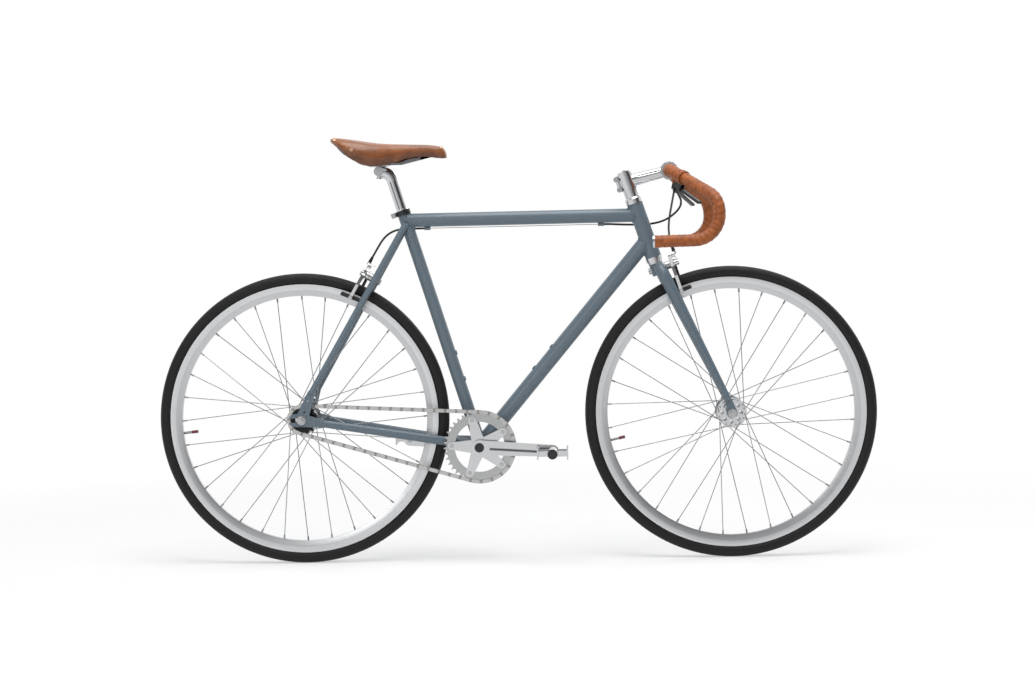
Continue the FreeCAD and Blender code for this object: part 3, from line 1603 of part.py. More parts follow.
def lever_bracket():
    half = lever_band_width / 2
    outer = band_radius + lever_band_wall
    band = rod(vec(-half, 0, 0), vec(half, 0, 0), outer)
    pieces = [band]
    for low, high in ((cheek_inner, cheek_outer), (-cheek_outer, -cheek_inner)):
        ends = [(0, band_radius, lever_cheek_radius), (0, lever_pivot_drop, lever_cheek_radius)]
        pieces.append(strip(ends, low, high))
    back = socket_reach + lever_socket_radius
    block_far = vec(-socket_start, lever_pivot_drop, cheek_outer)
    pieces.append(box_between(vec(-back, band_radius, -cheek_outer), block_far))
    pieces.append(rod(vec(-socket_reach, lever_pivot_drop, 0),
                      vec(-socket_reach, lever_pivot_drop + lever_socket_length, 0), lever_socket_radius))
    pieces.append(rod(vec(0, lever_pivot_drop, -cheek_outer), vec(0, lever_pivot_drop, cheek_outer),
                      lever_pin_radius))
    bracket_body = fused(pieces)
    bore = rod(vec(-back - overrun, 0, 0), vec(half + overrun, 0, 0), band_radius)
    return placed(bracket_body.cut(bore), lever_view)


def lever_blade():
    blade = strip([(0, lever_pivot_drop, lever_pivot_radius),
                   (lever_knee_reach, lever_knee_drop, lever_blade_radius),
                   (lever_blade_length, lever_blade_drop, lever_blade_radius)],
                  -lever_blade_thickness / 2, lever_blade_thickness / 2)
    hole = rod(vec(0, lever_pivot_drop, -cheek_outer), vec(0, lever_pivot_drop, cheek_outer),
               lever_pin_radius + slip_fit)
    return placed(blade.cut(hole), lever_view)


lever_exit = lever_view.multVec(vec(-socket_reach, lever_pivot_drop + lever_socket_length, 0))

# Rim brakes: two arms on a centre bolt. In the brake's own view x is sideways, y up and z along the bolt.
pad_radius = rim_outer_radius - pad_depth


class Brake:
    def __init__(self, mount, up, away, axle, standoff, mount_body, back_depth):
        self.mount = mount
        self.side = up.cross(away)
        self.up = up
        self.away = away
        self.axle = axle
        self.mount_body = mount_body
        self.back_depth = back_depth
        self.view = frame_at(mount, self.side, up, away)
        self.cable_low = standoff
        self.far_low = standoff + arm_thickness + arm_gap
        self.front = self.far_low + arm_thickness
        self.wire_z = self.front + anchor_height / 2

    def reach(self, z):
        start = self.mount + self.away * z - self.axle
        rise = start.dot(self.up)
        return rise - math.sqrt(rise ** 2 - start.dot(start) + pad_radius ** 2)

    # Arm on one side, with its pad holder, pad, bolt and its end of the cable
    def arm(self, sign):
        low = self.cable_low if sign < 0 else self.far_low
        high = low + arm_thickness
        middle = (low + high) / 2
        reach = self.reach(middle)
        foot = (sign * arm_foot_reach, -reach, arm_foot_radius)
        flank = (sign * arm_side_reach, -arm_side_drop, arm_side_radius)
        shoulder = (sign * arm_shoulder_reach, -arm_shoulder_drop, arm_shoulder_radius)
        boss = (0, 0, arm_boss_radius)
        body = strip([foot, flank, shoulder, boss], low, high)
        if sign < 0:
            body = body.fuse(self.barrel_end(shoulder, low, high))
        else:
            body = body.fuse(strip([boss, (-cable_reach, anchor_rise, cable_eye_radius)], low, high))
            body = body.fuse(rod(vec(-cable_reach, anchor_rise, high),
                                 vec(-cable_reach, anchor_rise, high + anchor_height), anchor_radius))
        pivot = Part.makeCylinder(centre_bolt_radius + slip_fit, arm_thickness + overrun * 2,
                                  vec(0, 0, low - overrun))
        pad_face = rim_width / 2 + pad_gap
        holder_end = pad_face + pad_thickness + holder_thickness
        foot_end = arm_foot_reach + arm_foot_radius
        bolt_start = vec(sign * holder_end, -reach, middle)
        bolt_end = vec(sign * foot_end, -reach, middle)
        hole_end = vec(sign * (foot_end + overrun), -reach, middle)
        hole = rod(bolt_start, hole_end, shoe_bolt_radius + slip_fit)
        nut_end = vec(sign * (foot_end + shoe_nut_height), -reach, middle)
        spot = rod(bolt_end, nut_end, shoe_nut_radius + slip_fit)
        body = body.cut([pivot, hole, spot]).removeSplitter()
        bolt = rod(bolt_start, bolt_end, shoe_bolt_radius)
        bolt = bolt.fuse(rod(bolt_end, nut_end, shoe_nut_radius))
        pieces = [placed(body, self.view), placed(bolt.removeSplitter(), self.view)]
        if sign > 0:
            pieces.append(placed(self.wire(), self.view))
        return pieces + self.shoe(sign, reach, middle)

    def barrel_end(self, shoulder, low, high):
        eye = (-cable_reach, barrel_rise, cable_eye_radius)
        arm = strip([shoulder, eye], low, high)
        start = vec(-cable_reach, barrel_rise, self.wire_z)
        arm = arm.fuse(rod(vec(-cable_reach, barrel_rise, high), start, cable_eye_radius))
        end = start + vec(0, barrel_length, 0)
        arm = arm.fuse(rod(start, end, barrel_radius))
        reach = vec(0, cable_eye_radius + overrun, 0)
        return arm.cut(rod(start - reach, end + reach, barrel_bore_radius))

    def wire(self):
        start = vec(-cable_reach, anchor_rise + anchor_radius, self.wire_z)
        end = vec(-cable_reach, barrel_rise - cable_eye_radius + seat_gap, self.wire_z)
        return rod(start, end, cable_wire_radius)

    def shoe(self, sign, reach, middle):
        centre = self.view.multVec(vec(0, -reach, middle))
        outward = unit(centre - self.axle)
        turn = frame_at(centre, self.side, outward, self.side.cross(outward))
        face = rim_width / 2 + pad_gap
        pieces = []
        pad_layer = (face, pad_thickness, pad_height / 2)
        holder_layer = (face + pad_thickness, holder_thickness, holder_height / 2)
        half_length = pad_length / 2
        for start, thickness, half in (pad_layer, holder_layer):
            low, high = sorted((sign * start, sign * (start + thickness)))
            block = box_between(vec(low, -half, -half_length), vec(high, half, half_length))
            pieces.append(placed(block, turn))
        return pieces

    def bolt(self):
        end = self.front + running_gap + centre_nut_height
        spacer = rod(vec(0, 0, 0), vec(0, 0, self.cable_low - running_gap), arm_boss_radius)
        front_nut = rod(vec(0, 0, self.front + running_gap), vec(0, 0, end), centre_nut_radius)
        tail = self.back_depth + centre_nut_height
        rear_nut = rod(vec(0, 0, -tail), vec(0, 0, 0), centre_nut_radius)
        sleeves = [placed(piece, self.view).cut(self.mount_body) for piece in (spacer, rear_nut)]
        shank = placed(rod(vec(0, 0, -tail), vec(0, 0, end), centre_bolt_radius), self.view)
        return fused([shank, placed(front_nut, self.view)] + sleeves)

    def barrel_top(self, lift):
        y = barrel_rise + barrel_length + lift
        return self.view.multVec(vec(-cable_reach, y, self.wire_z))


front_brake = Brake(crown_point, steer_up, steer_front, front_axle, front_arm_standoff,
                    fork_crown_body(), crown_root_radius)
rear_brake = Brake(brake_bridge, stay_plane_up, stay_plane_back, rear_axle, rear_arm_standoff,
                   bridge_body(), brake_bridge_radius)


# Brake cables: straight runs joined by arcs as large as the runs allow
def housing(points):
    radii = cable_radii(points)
    print("cable arc radii, mm:", [round(radius, 1) for radius in radii])
    return bent_rod(points, radii, housing_radius)


def route(start, offsets):
    return [start + vec(*offset) for offset in offsets]


def lever_lead():
    return [lever_exit + lever_down * running_gap, lever_exit + lever_down * cable_lead]


def barrel_lead(brake):
    return [brake.barrel_top(barrel_run), brake.barrel_top(running_gap)]


def boot(brake):
    return rod(brake.barrel_top(running_gap), brake.barrel_top(running_gap + boot_length), boot_radius)


def stop_lead(stop, way):
    along = top_tube_along * way
    face = stop + along * (stop_length / 2)
    return [face, face + along * stop_run]


def front_brake_housing():
    start = [flipped(point) for point in lever_lead()]
    cable = housing(start + route(bar_centre, front_housing_from_bar) + barrel_lead(front_brake))
    return cable.fuse(boot(front_brake)).removeSplitter()


def steering_housing():
    end = stop_lead(front_stop, 1)
    middle = route(bar_centre, steering_housing_from_bar) + route(front_stop, steering_housing_from_stop)
    return housing(lever_lead() + middle + end[::-1])


def rear_brake_cable():
    start = stop_lead(rear_stop, -1)
    cable = housing(start + route(rear_stop, rear_housing_from_stop) + barrel_lead(rear_brake))
    wire = rod(rear_stop, front_stop, cable_wire_radius)
    return [cable.fuse(boot(rear_brake)).removeSplitter(), wire]


# One file for each node
front_lines = spoke_lines(front_axle_x, front_valve_angle, front_flange_offset)
rear_lines = spoke_lines(rear_axle_x, rear_valve_angle, rear_flange_offset)
front_hub_ends = (front_hub_half, front_hub_half, front_axle_radius)
rear_hub_ends = (rear_hub_right, rear_hub_left, rear_axle_radius)
rivets = saddle_rivets()

nodes = {
    "head_tube": [head_tube()],
    "top_tube": [top_tube()],
    "down_tube": [down_tube()],
    "seat_tube": [seat_tube()],
    "bottom_bracket_shell": [bottom_bracket_shell()],
    "chainstays": chainstays(),
    "seatstays": seatstays(),
    "track_ends": [right_track_end(), mirrored(right_track_end())],
    "seat_collar": seat_collar(),
    "frame_fittings": frame_fittings(),
    "headset": headset(),
    "bottom_bracket": bottom_bracket(),
    "rear_axle": axle_set(rear_axle_x, rear_axle_radius, rear_hub_right, rear_hub_left, rear_dropout_half,
                          track_end_thickness),
    "rear_brake_bolt": [rear_brake.bolt()],
    "rear_brake_cable": rear_brake_cable(),
    "rear_brake_front_housing": [steering_housing()],
    "chain": chain(),
    "seatpost": [seatpost()],
    "saddle_clamp": saddle_clamp(),
    "saddle_rails": saddle_rails() + rivets,
    "saddle_cover": [saddle_cover(rivets)],
    "steerer": [steerer()],
    "fork_crown": [fork_crown()],
    "fork_blades": fork_blades(),
    "headset_spacers": headset_spacers(),
    "stem": [stem()],
    "stem_face_plate": [stem_face_plate()],
    "stem_bolts": stem_bolts(),
    "handlebar": [handlebar()],
    "bar_wrap": bar_wrap(),
    "bar_plugs": bar_plugs(),
    "lever_brackets": [lever_bracket(), mirrored(lever_bracket())],
    "front_axle": axle_set(front_axle_x, front_axle_radius, front_hub_half, front_hub_half,
                           front_dropout_half, fork_end_thickness),
    "front_brake_bolt": [front_brake.bolt()],
    "front_brake_housing": [front_brake_housing()],
    "right_lever": [lever_blade()],
    "left_lever": [mirrored(lever_blade())],
    "front_brake_arm_right": front_brake.arm(-1),
    "front_brake_arm_left": front_brake.arm(1),
    "rear_brake_arm_left": rear_brake.arm(-1),
    "rear_brake_arm_right": rear_brake.arm(1),
    "front_tyre": [tyre(front_axle_x)],
    "front_inner_tube": [inner_tube(front_axle_x, front_valve_angle)],
    "front_rim": [rim(front_axle_x, front_lines, front_valve_angle)],
    "front_spokes": spokes(front_lines),
    "front_hub": [hub_shell(front_axle_x, front_lines, front_flange_offset, *front_hub_ends)]
    + hub_bearings(front_axle_x, *front_hub_ends),
    "rear_tyre": [tyre(rear_axle_x)],
    "rear_inner_tube": [inner_tube(rear_axle_x, rear_valve_angle)],
    "rear_rim": [rim(rear_axle_x, rear_lines, rear_valve_angle)],
    "rear_spokes": spokes(rear_lines),
    "rear_hub": [rear_hub_shell(rear_lines)] + hub_bearings(rear_axle_x, *rear_hub_ends),
    "track_cog": track_cog(),
    "crank_axles": crank_axles(),
    "right_crank": [right_crank()],
    "left_crank": [crank_arm(left_pedal, 1)],
    "chainring": chainring(),
    "crank_caps": crank_caps(),
    "right_pedal": pedal(right_pedal, -1),
    "left_pedal": pedal(left_pedal, 1),
}

os.makedirs("parts", exist_ok=True)
for name, solids in nodes.items():
    Part.makeCompound(solids).exportStep("parts/" + name + ".step")
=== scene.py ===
import math
import bpy
from mathutils import Matrix, Vector


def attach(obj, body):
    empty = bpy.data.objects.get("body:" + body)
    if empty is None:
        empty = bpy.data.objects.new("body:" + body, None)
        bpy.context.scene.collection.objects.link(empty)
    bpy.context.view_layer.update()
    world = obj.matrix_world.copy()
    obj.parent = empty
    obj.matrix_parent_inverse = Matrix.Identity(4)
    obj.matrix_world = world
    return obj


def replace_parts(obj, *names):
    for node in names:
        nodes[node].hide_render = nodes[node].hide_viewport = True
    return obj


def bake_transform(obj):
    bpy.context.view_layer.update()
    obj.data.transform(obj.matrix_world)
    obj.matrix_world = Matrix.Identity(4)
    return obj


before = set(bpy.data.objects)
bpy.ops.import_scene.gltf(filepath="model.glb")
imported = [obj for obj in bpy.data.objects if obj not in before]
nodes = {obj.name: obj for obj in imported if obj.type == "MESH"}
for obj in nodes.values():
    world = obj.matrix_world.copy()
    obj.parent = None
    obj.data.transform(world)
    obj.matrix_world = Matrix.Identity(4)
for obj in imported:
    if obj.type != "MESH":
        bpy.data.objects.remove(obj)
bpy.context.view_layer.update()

scene = bpy.context.scene
scene.view_settings.view_transform = "Standard"

# The studio: the bike stands by itself on a pale matt floor, in soft light from above and from the
# camera's side. The backdrop is white to the camera; to polished metal it is white behind the bike and
# dimmer towards the camera's side, and it lights everything else at a plain level.


def add_node(tree, kind, inputs=(), **settings):
    node = tree.nodes.new(kind)
    for name, value in settings.items():
        setattr(node, name, value)
    for socket, value in dict(inputs).items():
        if isinstance(value, bpy.types.NodeSocket):
            tree.links.new(value, node.inputs[socket])
        else:
            node.inputs[socket].default_value = value
    return node


def output(tree, kind, inputs=(), **settings):
    return add_node(tree, kind, inputs, **settings).outputs[0]


def maths(tree, operation, *values, **settings):
    return output(tree, "ShaderNodeMath", enumerate(values), operation=operation, **settings)


def vectors(tree, operation, *values):
    made = add_node(tree, "ShaderNodeVectorMath", enumerate(values), operation=operation).outputs
    return made["Value" if operation in ("LENGTH", "DOT_PRODUCT") else "Vector"]


def ranged(tree, value, seen=(0.0, 1.0), given=(0.0, 1.0), **settings):
    limits = zip(("Value", "From Min", "From Max", "To Min", "To Max"), (value, *seen, *given))
    return output(tree, "ShaderNodeMapRange", limits, **settings)


def object_place(tree):
    return add_node(tree, "ShaderNodeTexCoord").outputs["Object"]


def noise(tree, place, scale, detail, **more):
    values = {"Vector": place, "Scale": scale, "Detail": detail, **more}
    return add_node(tree, "ShaderNodeTexNoise", values).outputs["Fac"]


def seen_directly(tree):
    rays = add_node(tree, "ShaderNodeLightPath").outputs
    seen = maths(tree, "MAXIMUM", rays["Is Camera Ray"], rays["Is Glossy Ray"])
    return maths(tree, "MAXIMUM", seen, rays["Is Transmission Ray"])


def add_piece(name, data):
    piece = bpy.data.objects.new(name, data)
    scene.collection.objects.link(piece)
    return piece


def mesh_of(name, points, edges, faces, *materials):
    mesh = bpy.data.meshes.new(name)
    mesh.from_pydata(points, edges, faces)
    mesh.polygons.foreach_set("use_smooth", [True] * len(faces))
    for material in materials:
        mesh.materials.append(material)
    return mesh


backdrop = bpy.data.worlds.new("white_backdrop")
scene.world = backdrop
backdrop.use_nodes = True
backdrop_tree = backdrop.node_tree
backdrop_tree.nodes.clear()
backdrop_way = add_node(backdrop_tree, "ShaderNodeTexCoord").outputs["Generated"]
backdrop_axes = add_node(backdrop_tree, "ShaderNodeSeparateXYZ", {"Vector": backdrop_way}).outputs
backdrop_near = maths(backdrop_tree, "MULTIPLY", backdrop_axes["Y"], -1.0)
backdrop_rear = ranged(backdrop_tree, backdrop_near, (0.05, 0.42), (1.0, 0.07))
backdrop_front = ranged(backdrop_tree, backdrop_near, (0.72, 0.99), (0.0, 0.5))
backdrop_shade = maths(backdrop_tree, "MAXIMUM", backdrop_rear, backdrop_front)
backdrop_camera = add_node(backdrop_tree, "ShaderNodeLightPath").outputs["Is Camera Ray"]
backdrop_level = maths(backdrop_tree, "MAXIMUM", backdrop_shade, backdrop_camera)
backdrop_white = output(
    backdrop_tree, "ShaderNodeBackground", {"Color": (1, 1, 1, 1), "Strength": backdrop_level}
)
backdrop_light = output(
    backdrop_tree, "ShaderNodeBackground", {"Color": (0.97, 0.98, 1, 1), "Strength": 0.5}
)
backdrop_mix = output(
    backdrop_tree,
    "ShaderNodeMixShader",
    {0: seen_directly(backdrop_tree), 1: backdrop_light, 2: backdrop_white},
)
add_node(backdrop_tree, "ShaderNodeOutputWorld", {"Surface": backdrop_mix})

floor_paper = bpy.data.materials.new("floor_paper")
floor_paper.use_nodes = True
floor_tree = floor_paper.node_tree
floor_tree.nodes.clear()
floor_place = object_place(floor_tree)
floor_fibre = noise(floor_tree, floor_place, 900.0, 2.0)
floor_bump = output(
    floor_tree, "ShaderNodeBump", {"Height": floor_fibre, "Strength": 0.05, "Distance": 0.0002}
)
floor_reach = vectors(floor_tree, "LENGTH", floor_place)
floor_fade = ranged(floor_tree, floor_reach, (0.9, 2.4))
floor_matt = output(
    floor_tree, "ShaderNodeBsdfDiffuse", {"Color": (0.5, 0.5, 0.5, 1), "Normal": floor_bump}
)
floor_glow = output(floor_tree, "ShaderNodeEmission", {"Color": (1, 1, 1, 1), "Strength": 0.40})
floor_far = output(floor_tree, "ShaderNodeEmission", {"Color": (1, 1, 1, 1), "Strength": 1.0})
floor_near = output(floor_tree, "ShaderNodeAddShader", {0: floor_matt, 1: floor_glow})
floor_sum = output(floor_tree, "ShaderNodeMixShader", {0: floor_fade, 1: floor_near, 2: floor_far})
floor_plain = output(floor_tree, "ShaderNodeBsdfDiffuse", {"Color": (0.82, 0.82, 0.82, 1)})
floor_mix = output(
    floor_tree, "ShaderNodeMixShader", {0: seen_directly(floor_tree), 1: floor_plain, 2: floor_sum}
)
add_node(floor_tree, "ShaderNodeOutputMaterial", {"Surface": floor_mix})

floor_half = 14.0
floor_corners = [(x * floor_half, y * floor_half, 0) for x, y in ((-1, -1), (1, -1), (1, 1), (-1, 1))]
floor = add_piece("floor", mesh_of("floor", floor_corners, [], [(0, 1, 2, 3)], floor_paper))

lamps = (
    ("overhead_softbox", (0.2, -0.9, 4.2), (0.0, 0.0, 0.4), 3.2, 140.0),
    ("camera_side_softbox", (-2.6, -4.6, 2.2), (0.0, 0.0, 0.55), 2.6, 48.0),
    ("far_side_softbox", (2.4, 4.4, 2.6), (0.0, 0.0, 0.5), 2.6, 55.0),
)
for lamp_name, lamp_place, lamp_aim, lamp_size, lamp_power in lamps:
    lamp = add_piece(lamp_name, bpy.data.lights.new(lamp_name, "AREA"))
    lamp.data.shape = "DISK"
    lamp.data.size = lamp_size
    lamp.data.energy = lamp_power
    lamp.location = lamp_place
    lamp.rotation_euler = (Vector(lamp_aim) - Vector(lamp_place)).to_track_quat("-Z", "Y").to_euler()

camera = add_piece("camera", bpy.data.cameras.new("camera"))
camera.data.sensor_width = 36.0
camera.data.lens = 77.678
camera.data.dof.use_dof = False
camera_down = math.radians(2.612)
camera_turn = math.radians(1.620)
camera_roll = math.radians(-1.058)
camera_place = Vector((0.15045, -5.2, 0.735))
camera_ahead = Vector(
    (
        -math.sin(camera_turn) * math.cos(camera_down),
        math.cos(camera_turn) * math.cos(camera_down),
        -math.sin(camera_down),
    )
)
camera_level = Vector((math.cos(camera_turn), math.sin(camera_turn), 0))
camera_upright = camera_level.cross(camera_ahead)
camera_right = camera_level * math.cos(camera_roll) + camera_upright * math.sin(camera_roll)
camera_up = camera_upright * math.cos(camera_roll) - camera_level * math.sin(camera_roll)
camera.matrix_world = Matrix.LocRotScale(
    camera_place,
    Matrix((camera_right, camera_up, -camera_ahead)).transposed(),
    Vector((1, 1, 1)),
)
scene.camera = camera

# The frame: thin steel tubes mitred and welded, then painted a satin blue grey all over, with the
# welds left proud. Head, top, down and seat tubes, stays, bottom bracket shell, track ends and the
# small brazed fittings.


def shader_group(name, inputs, outputs):
    group = bpy.data.node_groups.new(name, "ShaderNodeTree")
    for label, kind, value in inputs:
        socket = group.interface.new_socket(label, in_out="INPUT", socket_type="NodeSocket" + kind)
        socket.default_value = value
    for label, kind in outputs:
        group.interface.new_socket(label, in_out="OUTPUT", socket_type="NodeSocket" + kind)
    return group, group.nodes.new("NodeGroupInput").outputs


def group_end(group, **results):
    add_node(group, "NodeGroupOutput", results)


def scaled(tree, vector, scale):
    values = {0: vector, "Scale": scale}
    return add_node(tree, "ShaderNodeVectorMath", values, operation="SCALE").outputs["Vector"]


# Uneven tone, sheen and fine grain, as any worked surface has
uneven_measures = ("Tone Spread", "Patch Scale", "Grain Scale", "Roughness", "Roughness Spread")
finish_outputs = [("Colour", "Color"), ("Roughness", "Float"), ("Height", "Float")]
uneven_finish, uneven_in = shader_group(
    "uneven_finish",
    [("Colour", "Color", (0.5, 0.5, 0.5, 1)), *((measure, "Float", 0.1) for measure in uneven_measures)],
    finish_outputs,
)
uneven_place = object_place(uneven_finish)
uneven_patch = noise(uneven_finish, uneven_place, uneven_in["Patch Scale"], 5.0)
uneven_grain = noise(uneven_finish, uneven_place, uneven_in["Grain Scale"], 3.0)
uneven_centred = maths(uneven_finish, "SUBTRACT", uneven_patch, 0.5)
uneven_tone = maths(uneven_finish, "MULTIPLY_ADD", uneven_centred, uneven_in["Tone Spread"], 1.0)
uneven_colour = scaled(uneven_finish, uneven_in["Colour"], uneven_tone)
uneven_mixed = maths(uneven_finish, "MULTIPLY_ADD", uneven_grain, 0.4, uneven_centred)
uneven_rough = maths(
    uneven_finish, "MULTIPLY_ADD", uneven_mixed, uneven_in["Roughness Spread"], uneven_in["Roughness"]
)
group_end(uneven_finish, Colour=uneven_colour, Roughness=uneven_rough, Height=uneven_grain)


def srgb(red, green, blue):
    def linear(value):
        share = value / 255
        return share / 12.92 if share <= 0.04045 else ((share + 0.055) / 1.055) ** 2.4

    return (linear(red), linear(green), linear(blue), 1.0)


def group_node(tree, group, inputs):
    return add_node(tree, "ShaderNodeGroup", inputs, node_tree=group).outputs


def new_finish(name, shader_values):
    material = bpy.data.materials.new(name)
    material.use_nodes = True
    tree = material.node_tree
    tree.nodes.clear()
    shader = add_node(tree, "ShaderNodeBsdfPrincipled", shader_values)
    add_node(tree, "ShaderNodeOutputMaterial", {"Surface": shader.outputs[0]})
    return material, tree, shader


def raise_grain(tree, shader, height, strength, depth, **settings):
    values = {"Height": height, "Strength": strength, "Distance": depth}
    bump = add_node(tree, "ShaderNodeBump", values, **settings)
    tree.links.new(bump.outputs["Normal"], shader.inputs["Normal"])


def lay_colour(tree, shader, made):
    tree.links.new(made["Colour"], shader.inputs["Base Color"])
    tree.links.new(made["Roughness"], shader.inputs["Roughness"])


def grained(tone_spread, patch_scale, grain_scale, roughness, roughness_spread):
    measures = (tone_spread, patch_scale, grain_scale, roughness, roughness_spread)
    return dict(zip(uneven_measures, measures))


def uneven_parts(name, colour, finish, shader_values, grain_depth):
    material, tree, shader = new_finish(name, shader_values)
    made = group_node(tree, uneven_finish, {"Colour": srgb(*colour), **finish})
    lay_colour(tree, shader, made)
    raise_grain(tree, shader, made["Height"], 0.6, grain_depth)
    return material, tree, shader


def uneven_material(*looks):
    return uneven_parts(*looks)[0]


def shape_tree(name, inputs):
    tree = bpy.data.node_groups.new(name, "GeometryNodeTree")
    tree.interface.new_socket("Geometry", in_out="INPUT", socket_type="NodeSocketGeometry")
    for label, kind in inputs:
        tree.interface.new_socket(label, in_out="INPUT", socket_type="NodeSocket" + kind)
    tree.interface.new_socket("Geometry", in_out="OUTPUT", socket_type="NodeSocketGeometry")
    return tree, tree.nodes.new("NodeGroupInput").outputs


# Loose triangles of one curved face are shaded as one surface, and true corners stay sharp
soft_faces, soft_in = shape_tree("soft_faces", [("Corner Angle", "Float")])
soft_faces.interface.items_tree["Corner Angle"].default_value = 0.5
soft_joined = output(
    soft_faces, "GeometryNodeMergeByDistance", {"Geometry": soft_in["Geometry"], "Distance": 1e-5}
)
soft_angle = add_node(soft_faces, "GeometryNodeInputMeshEdgeAngle").outputs["Unsigned Angle"]
soft_corner = output(
    soft_faces,
    "FunctionNodeCompare",
    {0: soft_angle, 1: soft_in["Corner Angle"]},
    operation="GREATER_THAN",
)
soft_smooth = output(
    soft_faces,
    "GeometryNodeSetShadeSmooth",
    {"Geometry": soft_joined, "Shade Smooth": True},
    domain="FACE",
)
soft_split = output(
    soft_faces,
    "GeometryNodeSetShadeSmooth",
    {"Geometry": soft_smooth, "Selection": soft_corner, "Shade Smooth": False},
    domain="EDGE",
)
group_end(soft_faces, Geometry=soft_split)


def dress(names, *materials):
    for name in names:
        node = nodes[name]
        node.data.materials.clear()
        for material in materials:
            node.data.materials.append(material)
        node.modifiers.new("soft_faces", "NODES").node_group = soft_faces


frame_paint = uneven_material(
    "frame_paint",
    (89, 103, 113),
    grained(0.10, 14.0, 1400.0, 0.40, 0.04),
    {"Specular IOR Level": 0.5, "Coat Weight": 0.12, "Coat Roughness": 0.28},
    0.000015,
)
frame_pieces = (
    ("head_tube", "top_tube", "down_tube", "seat_tube", "bottom_bracket_shell")
    + ("chainstays", "seatstays", "track_ends", "frame_fittings")
)
dress(frame_pieces, frame_paint)

# Weld beads: a rippled steel fillet, laid round each mitre by hand before the paint. Each follows the
# line where two tubes meet, worked out from the tubes' axes and radii.
bracket = Vector((-0.087073, 0, 0.2695))
seat_up = Vector((-0.29737, 0, 0.95476))
steer_up = Vector((-0.31565, 0, 0.94888))
head_low = Vector((0.323163, 0, 0.701503))
top_tube_rear = Vector((-0.251371, 0, 0.797))
top_tube_front = Vector((0.290564, 0, 0.7995))
down_tube_front = Vector((0.309692, 0, 0.742))
head_tube_radius = 0.0185
top_tube_radius = 0.0159
down_tube_radius = 0.01745
seat_tube_radius = 0.0143
shell_radius = 0.02
weld_steps = 144


def weld_line(middle, end, radius, other_tube):
    other_point, other_along, other_radius = other_tube
    along = (end - middle).normalized()
    side = Vector((0, 1, 0))
    across = along.cross(side)
    points = []
    for step in range(weld_steps):
        turn = math.tau * step / weld_steps
        point = middle + side * (radius * math.cos(turn)) + across * (radius * math.sin(turn))
        offset = point - other_point
        offset -= other_along * offset.dot(other_along)
        travel = along - other_along * along.dot(other_along)
        square = travel.dot(travel)
        middle_run = -offset.dot(travel) / square
        depth = other_radius**2 - (offset + travel * middle_run).length_squared
        points.append(point + along * (middle_run - math.sqrt(max(depth, 0) / square)))
    edges = [(step, (step + 1) % weld_steps) for step in range(weld_steps)]
    return mesh_of("weld_line", points, edges, [])


def shape_end(tree, geometry, material):
    soft = output(tree, "GeometryNodeSetShadeSmooth", {"Geometry": geometry})
    real = output(tree, "GeometryNodeRealizeInstances", {"Geometry": soft})
    painted = output(tree, "GeometryNodeSetMaterial", {"Geometry": real, "Material": material})
    group_end(tree, Geometry=painted)


def keep(tree, geometry, label, value):
    kept = tree.nodes.new("GeometryNodeCaptureAttribute")
    kept.capture_items.new("FLOAT", label)
    tree.links.new(geometry, kept.inputs["Geometry"])
    tree.links.new(value, kept.inputs[label])
    return kept.outputs["Geometry"], kept.outputs[label]


def evaluated_mesh(piece):
    graph = bpy.context.evaluated_depsgraph_get()
    return bpy.data.meshes.new_from_object(piece.evaluated_get(graph), depsgraph=graph)


def shaped(name, tree, mesh, values):
    piece = add_piece(name, mesh)
    modifier = piece.modifiers.new(tree.name, "NODES")
    modifier.node_group = tree
    for item in tree.interface.items_tree:
        if item.in_out == "INPUT" and item.name in values:
            modifier[item.identifier] = values[item.name]
    result = evaluated_mesh(piece)
    piece.modifiers.remove(modifier)
    piece.data = result
    return piece


path_step = 0.0008
weld_bead, weld_in = shape_tree(
    "weld_bead",
    [
        ("Bead Radius", "Float"),
        ("Ripple Pitch", "Float"),
        ("Ripple Height", "Float"),
        ("Paint", "Material"),
    ],
)
weld_curve = output(weld_bead, "GeometryNodeMeshToCurve", {"Mesh": weld_in["Geometry"]})
weld_even = output(
    weld_bead, "GeometryNodeResampleCurve", {"Curve": weld_curve, "Length": path_step}, mode="LENGTH"
)
weld_length = add_node(weld_bead, "GeometryNodeSplineParameter").outputs["Length"]
weld_path, weld_run = keep(weld_bead, weld_even, "Run", weld_length)
weld_round = output(
    weld_bead, "GeometryNodeCurvePrimitiveCircle", {"Resolution": 10, "Radius": weld_in["Bead Radius"]}
)
weld_tube = output(
    weld_bead, "GeometryNodeCurveToMesh", {"Curve": weld_path, "Profile Curve": weld_round}
)
weld_turns = maths(weld_bead, "DIVIDE", weld_run, weld_in["Ripple Pitch"])
weld_phase = maths(weld_bead, "MULTIPLY", weld_turns, math.tau)
weld_wave = maths(weld_bead, "SINE", weld_phase)
weld_swell = maths(weld_bead, "MULTIPLY", weld_wave, weld_in["Ripple Height"])
weld_offset = scaled(weld_bead, output(weld_bead, "GeometryNodeInputNormal"), weld_swell)
weld_moved = output(
    weld_bead, "GeometryNodeSetPosition", {"Geometry": weld_tube, "Offset": weld_offset}
)
shape_end(weld_bead, weld_moved, weld_in["Paint"])

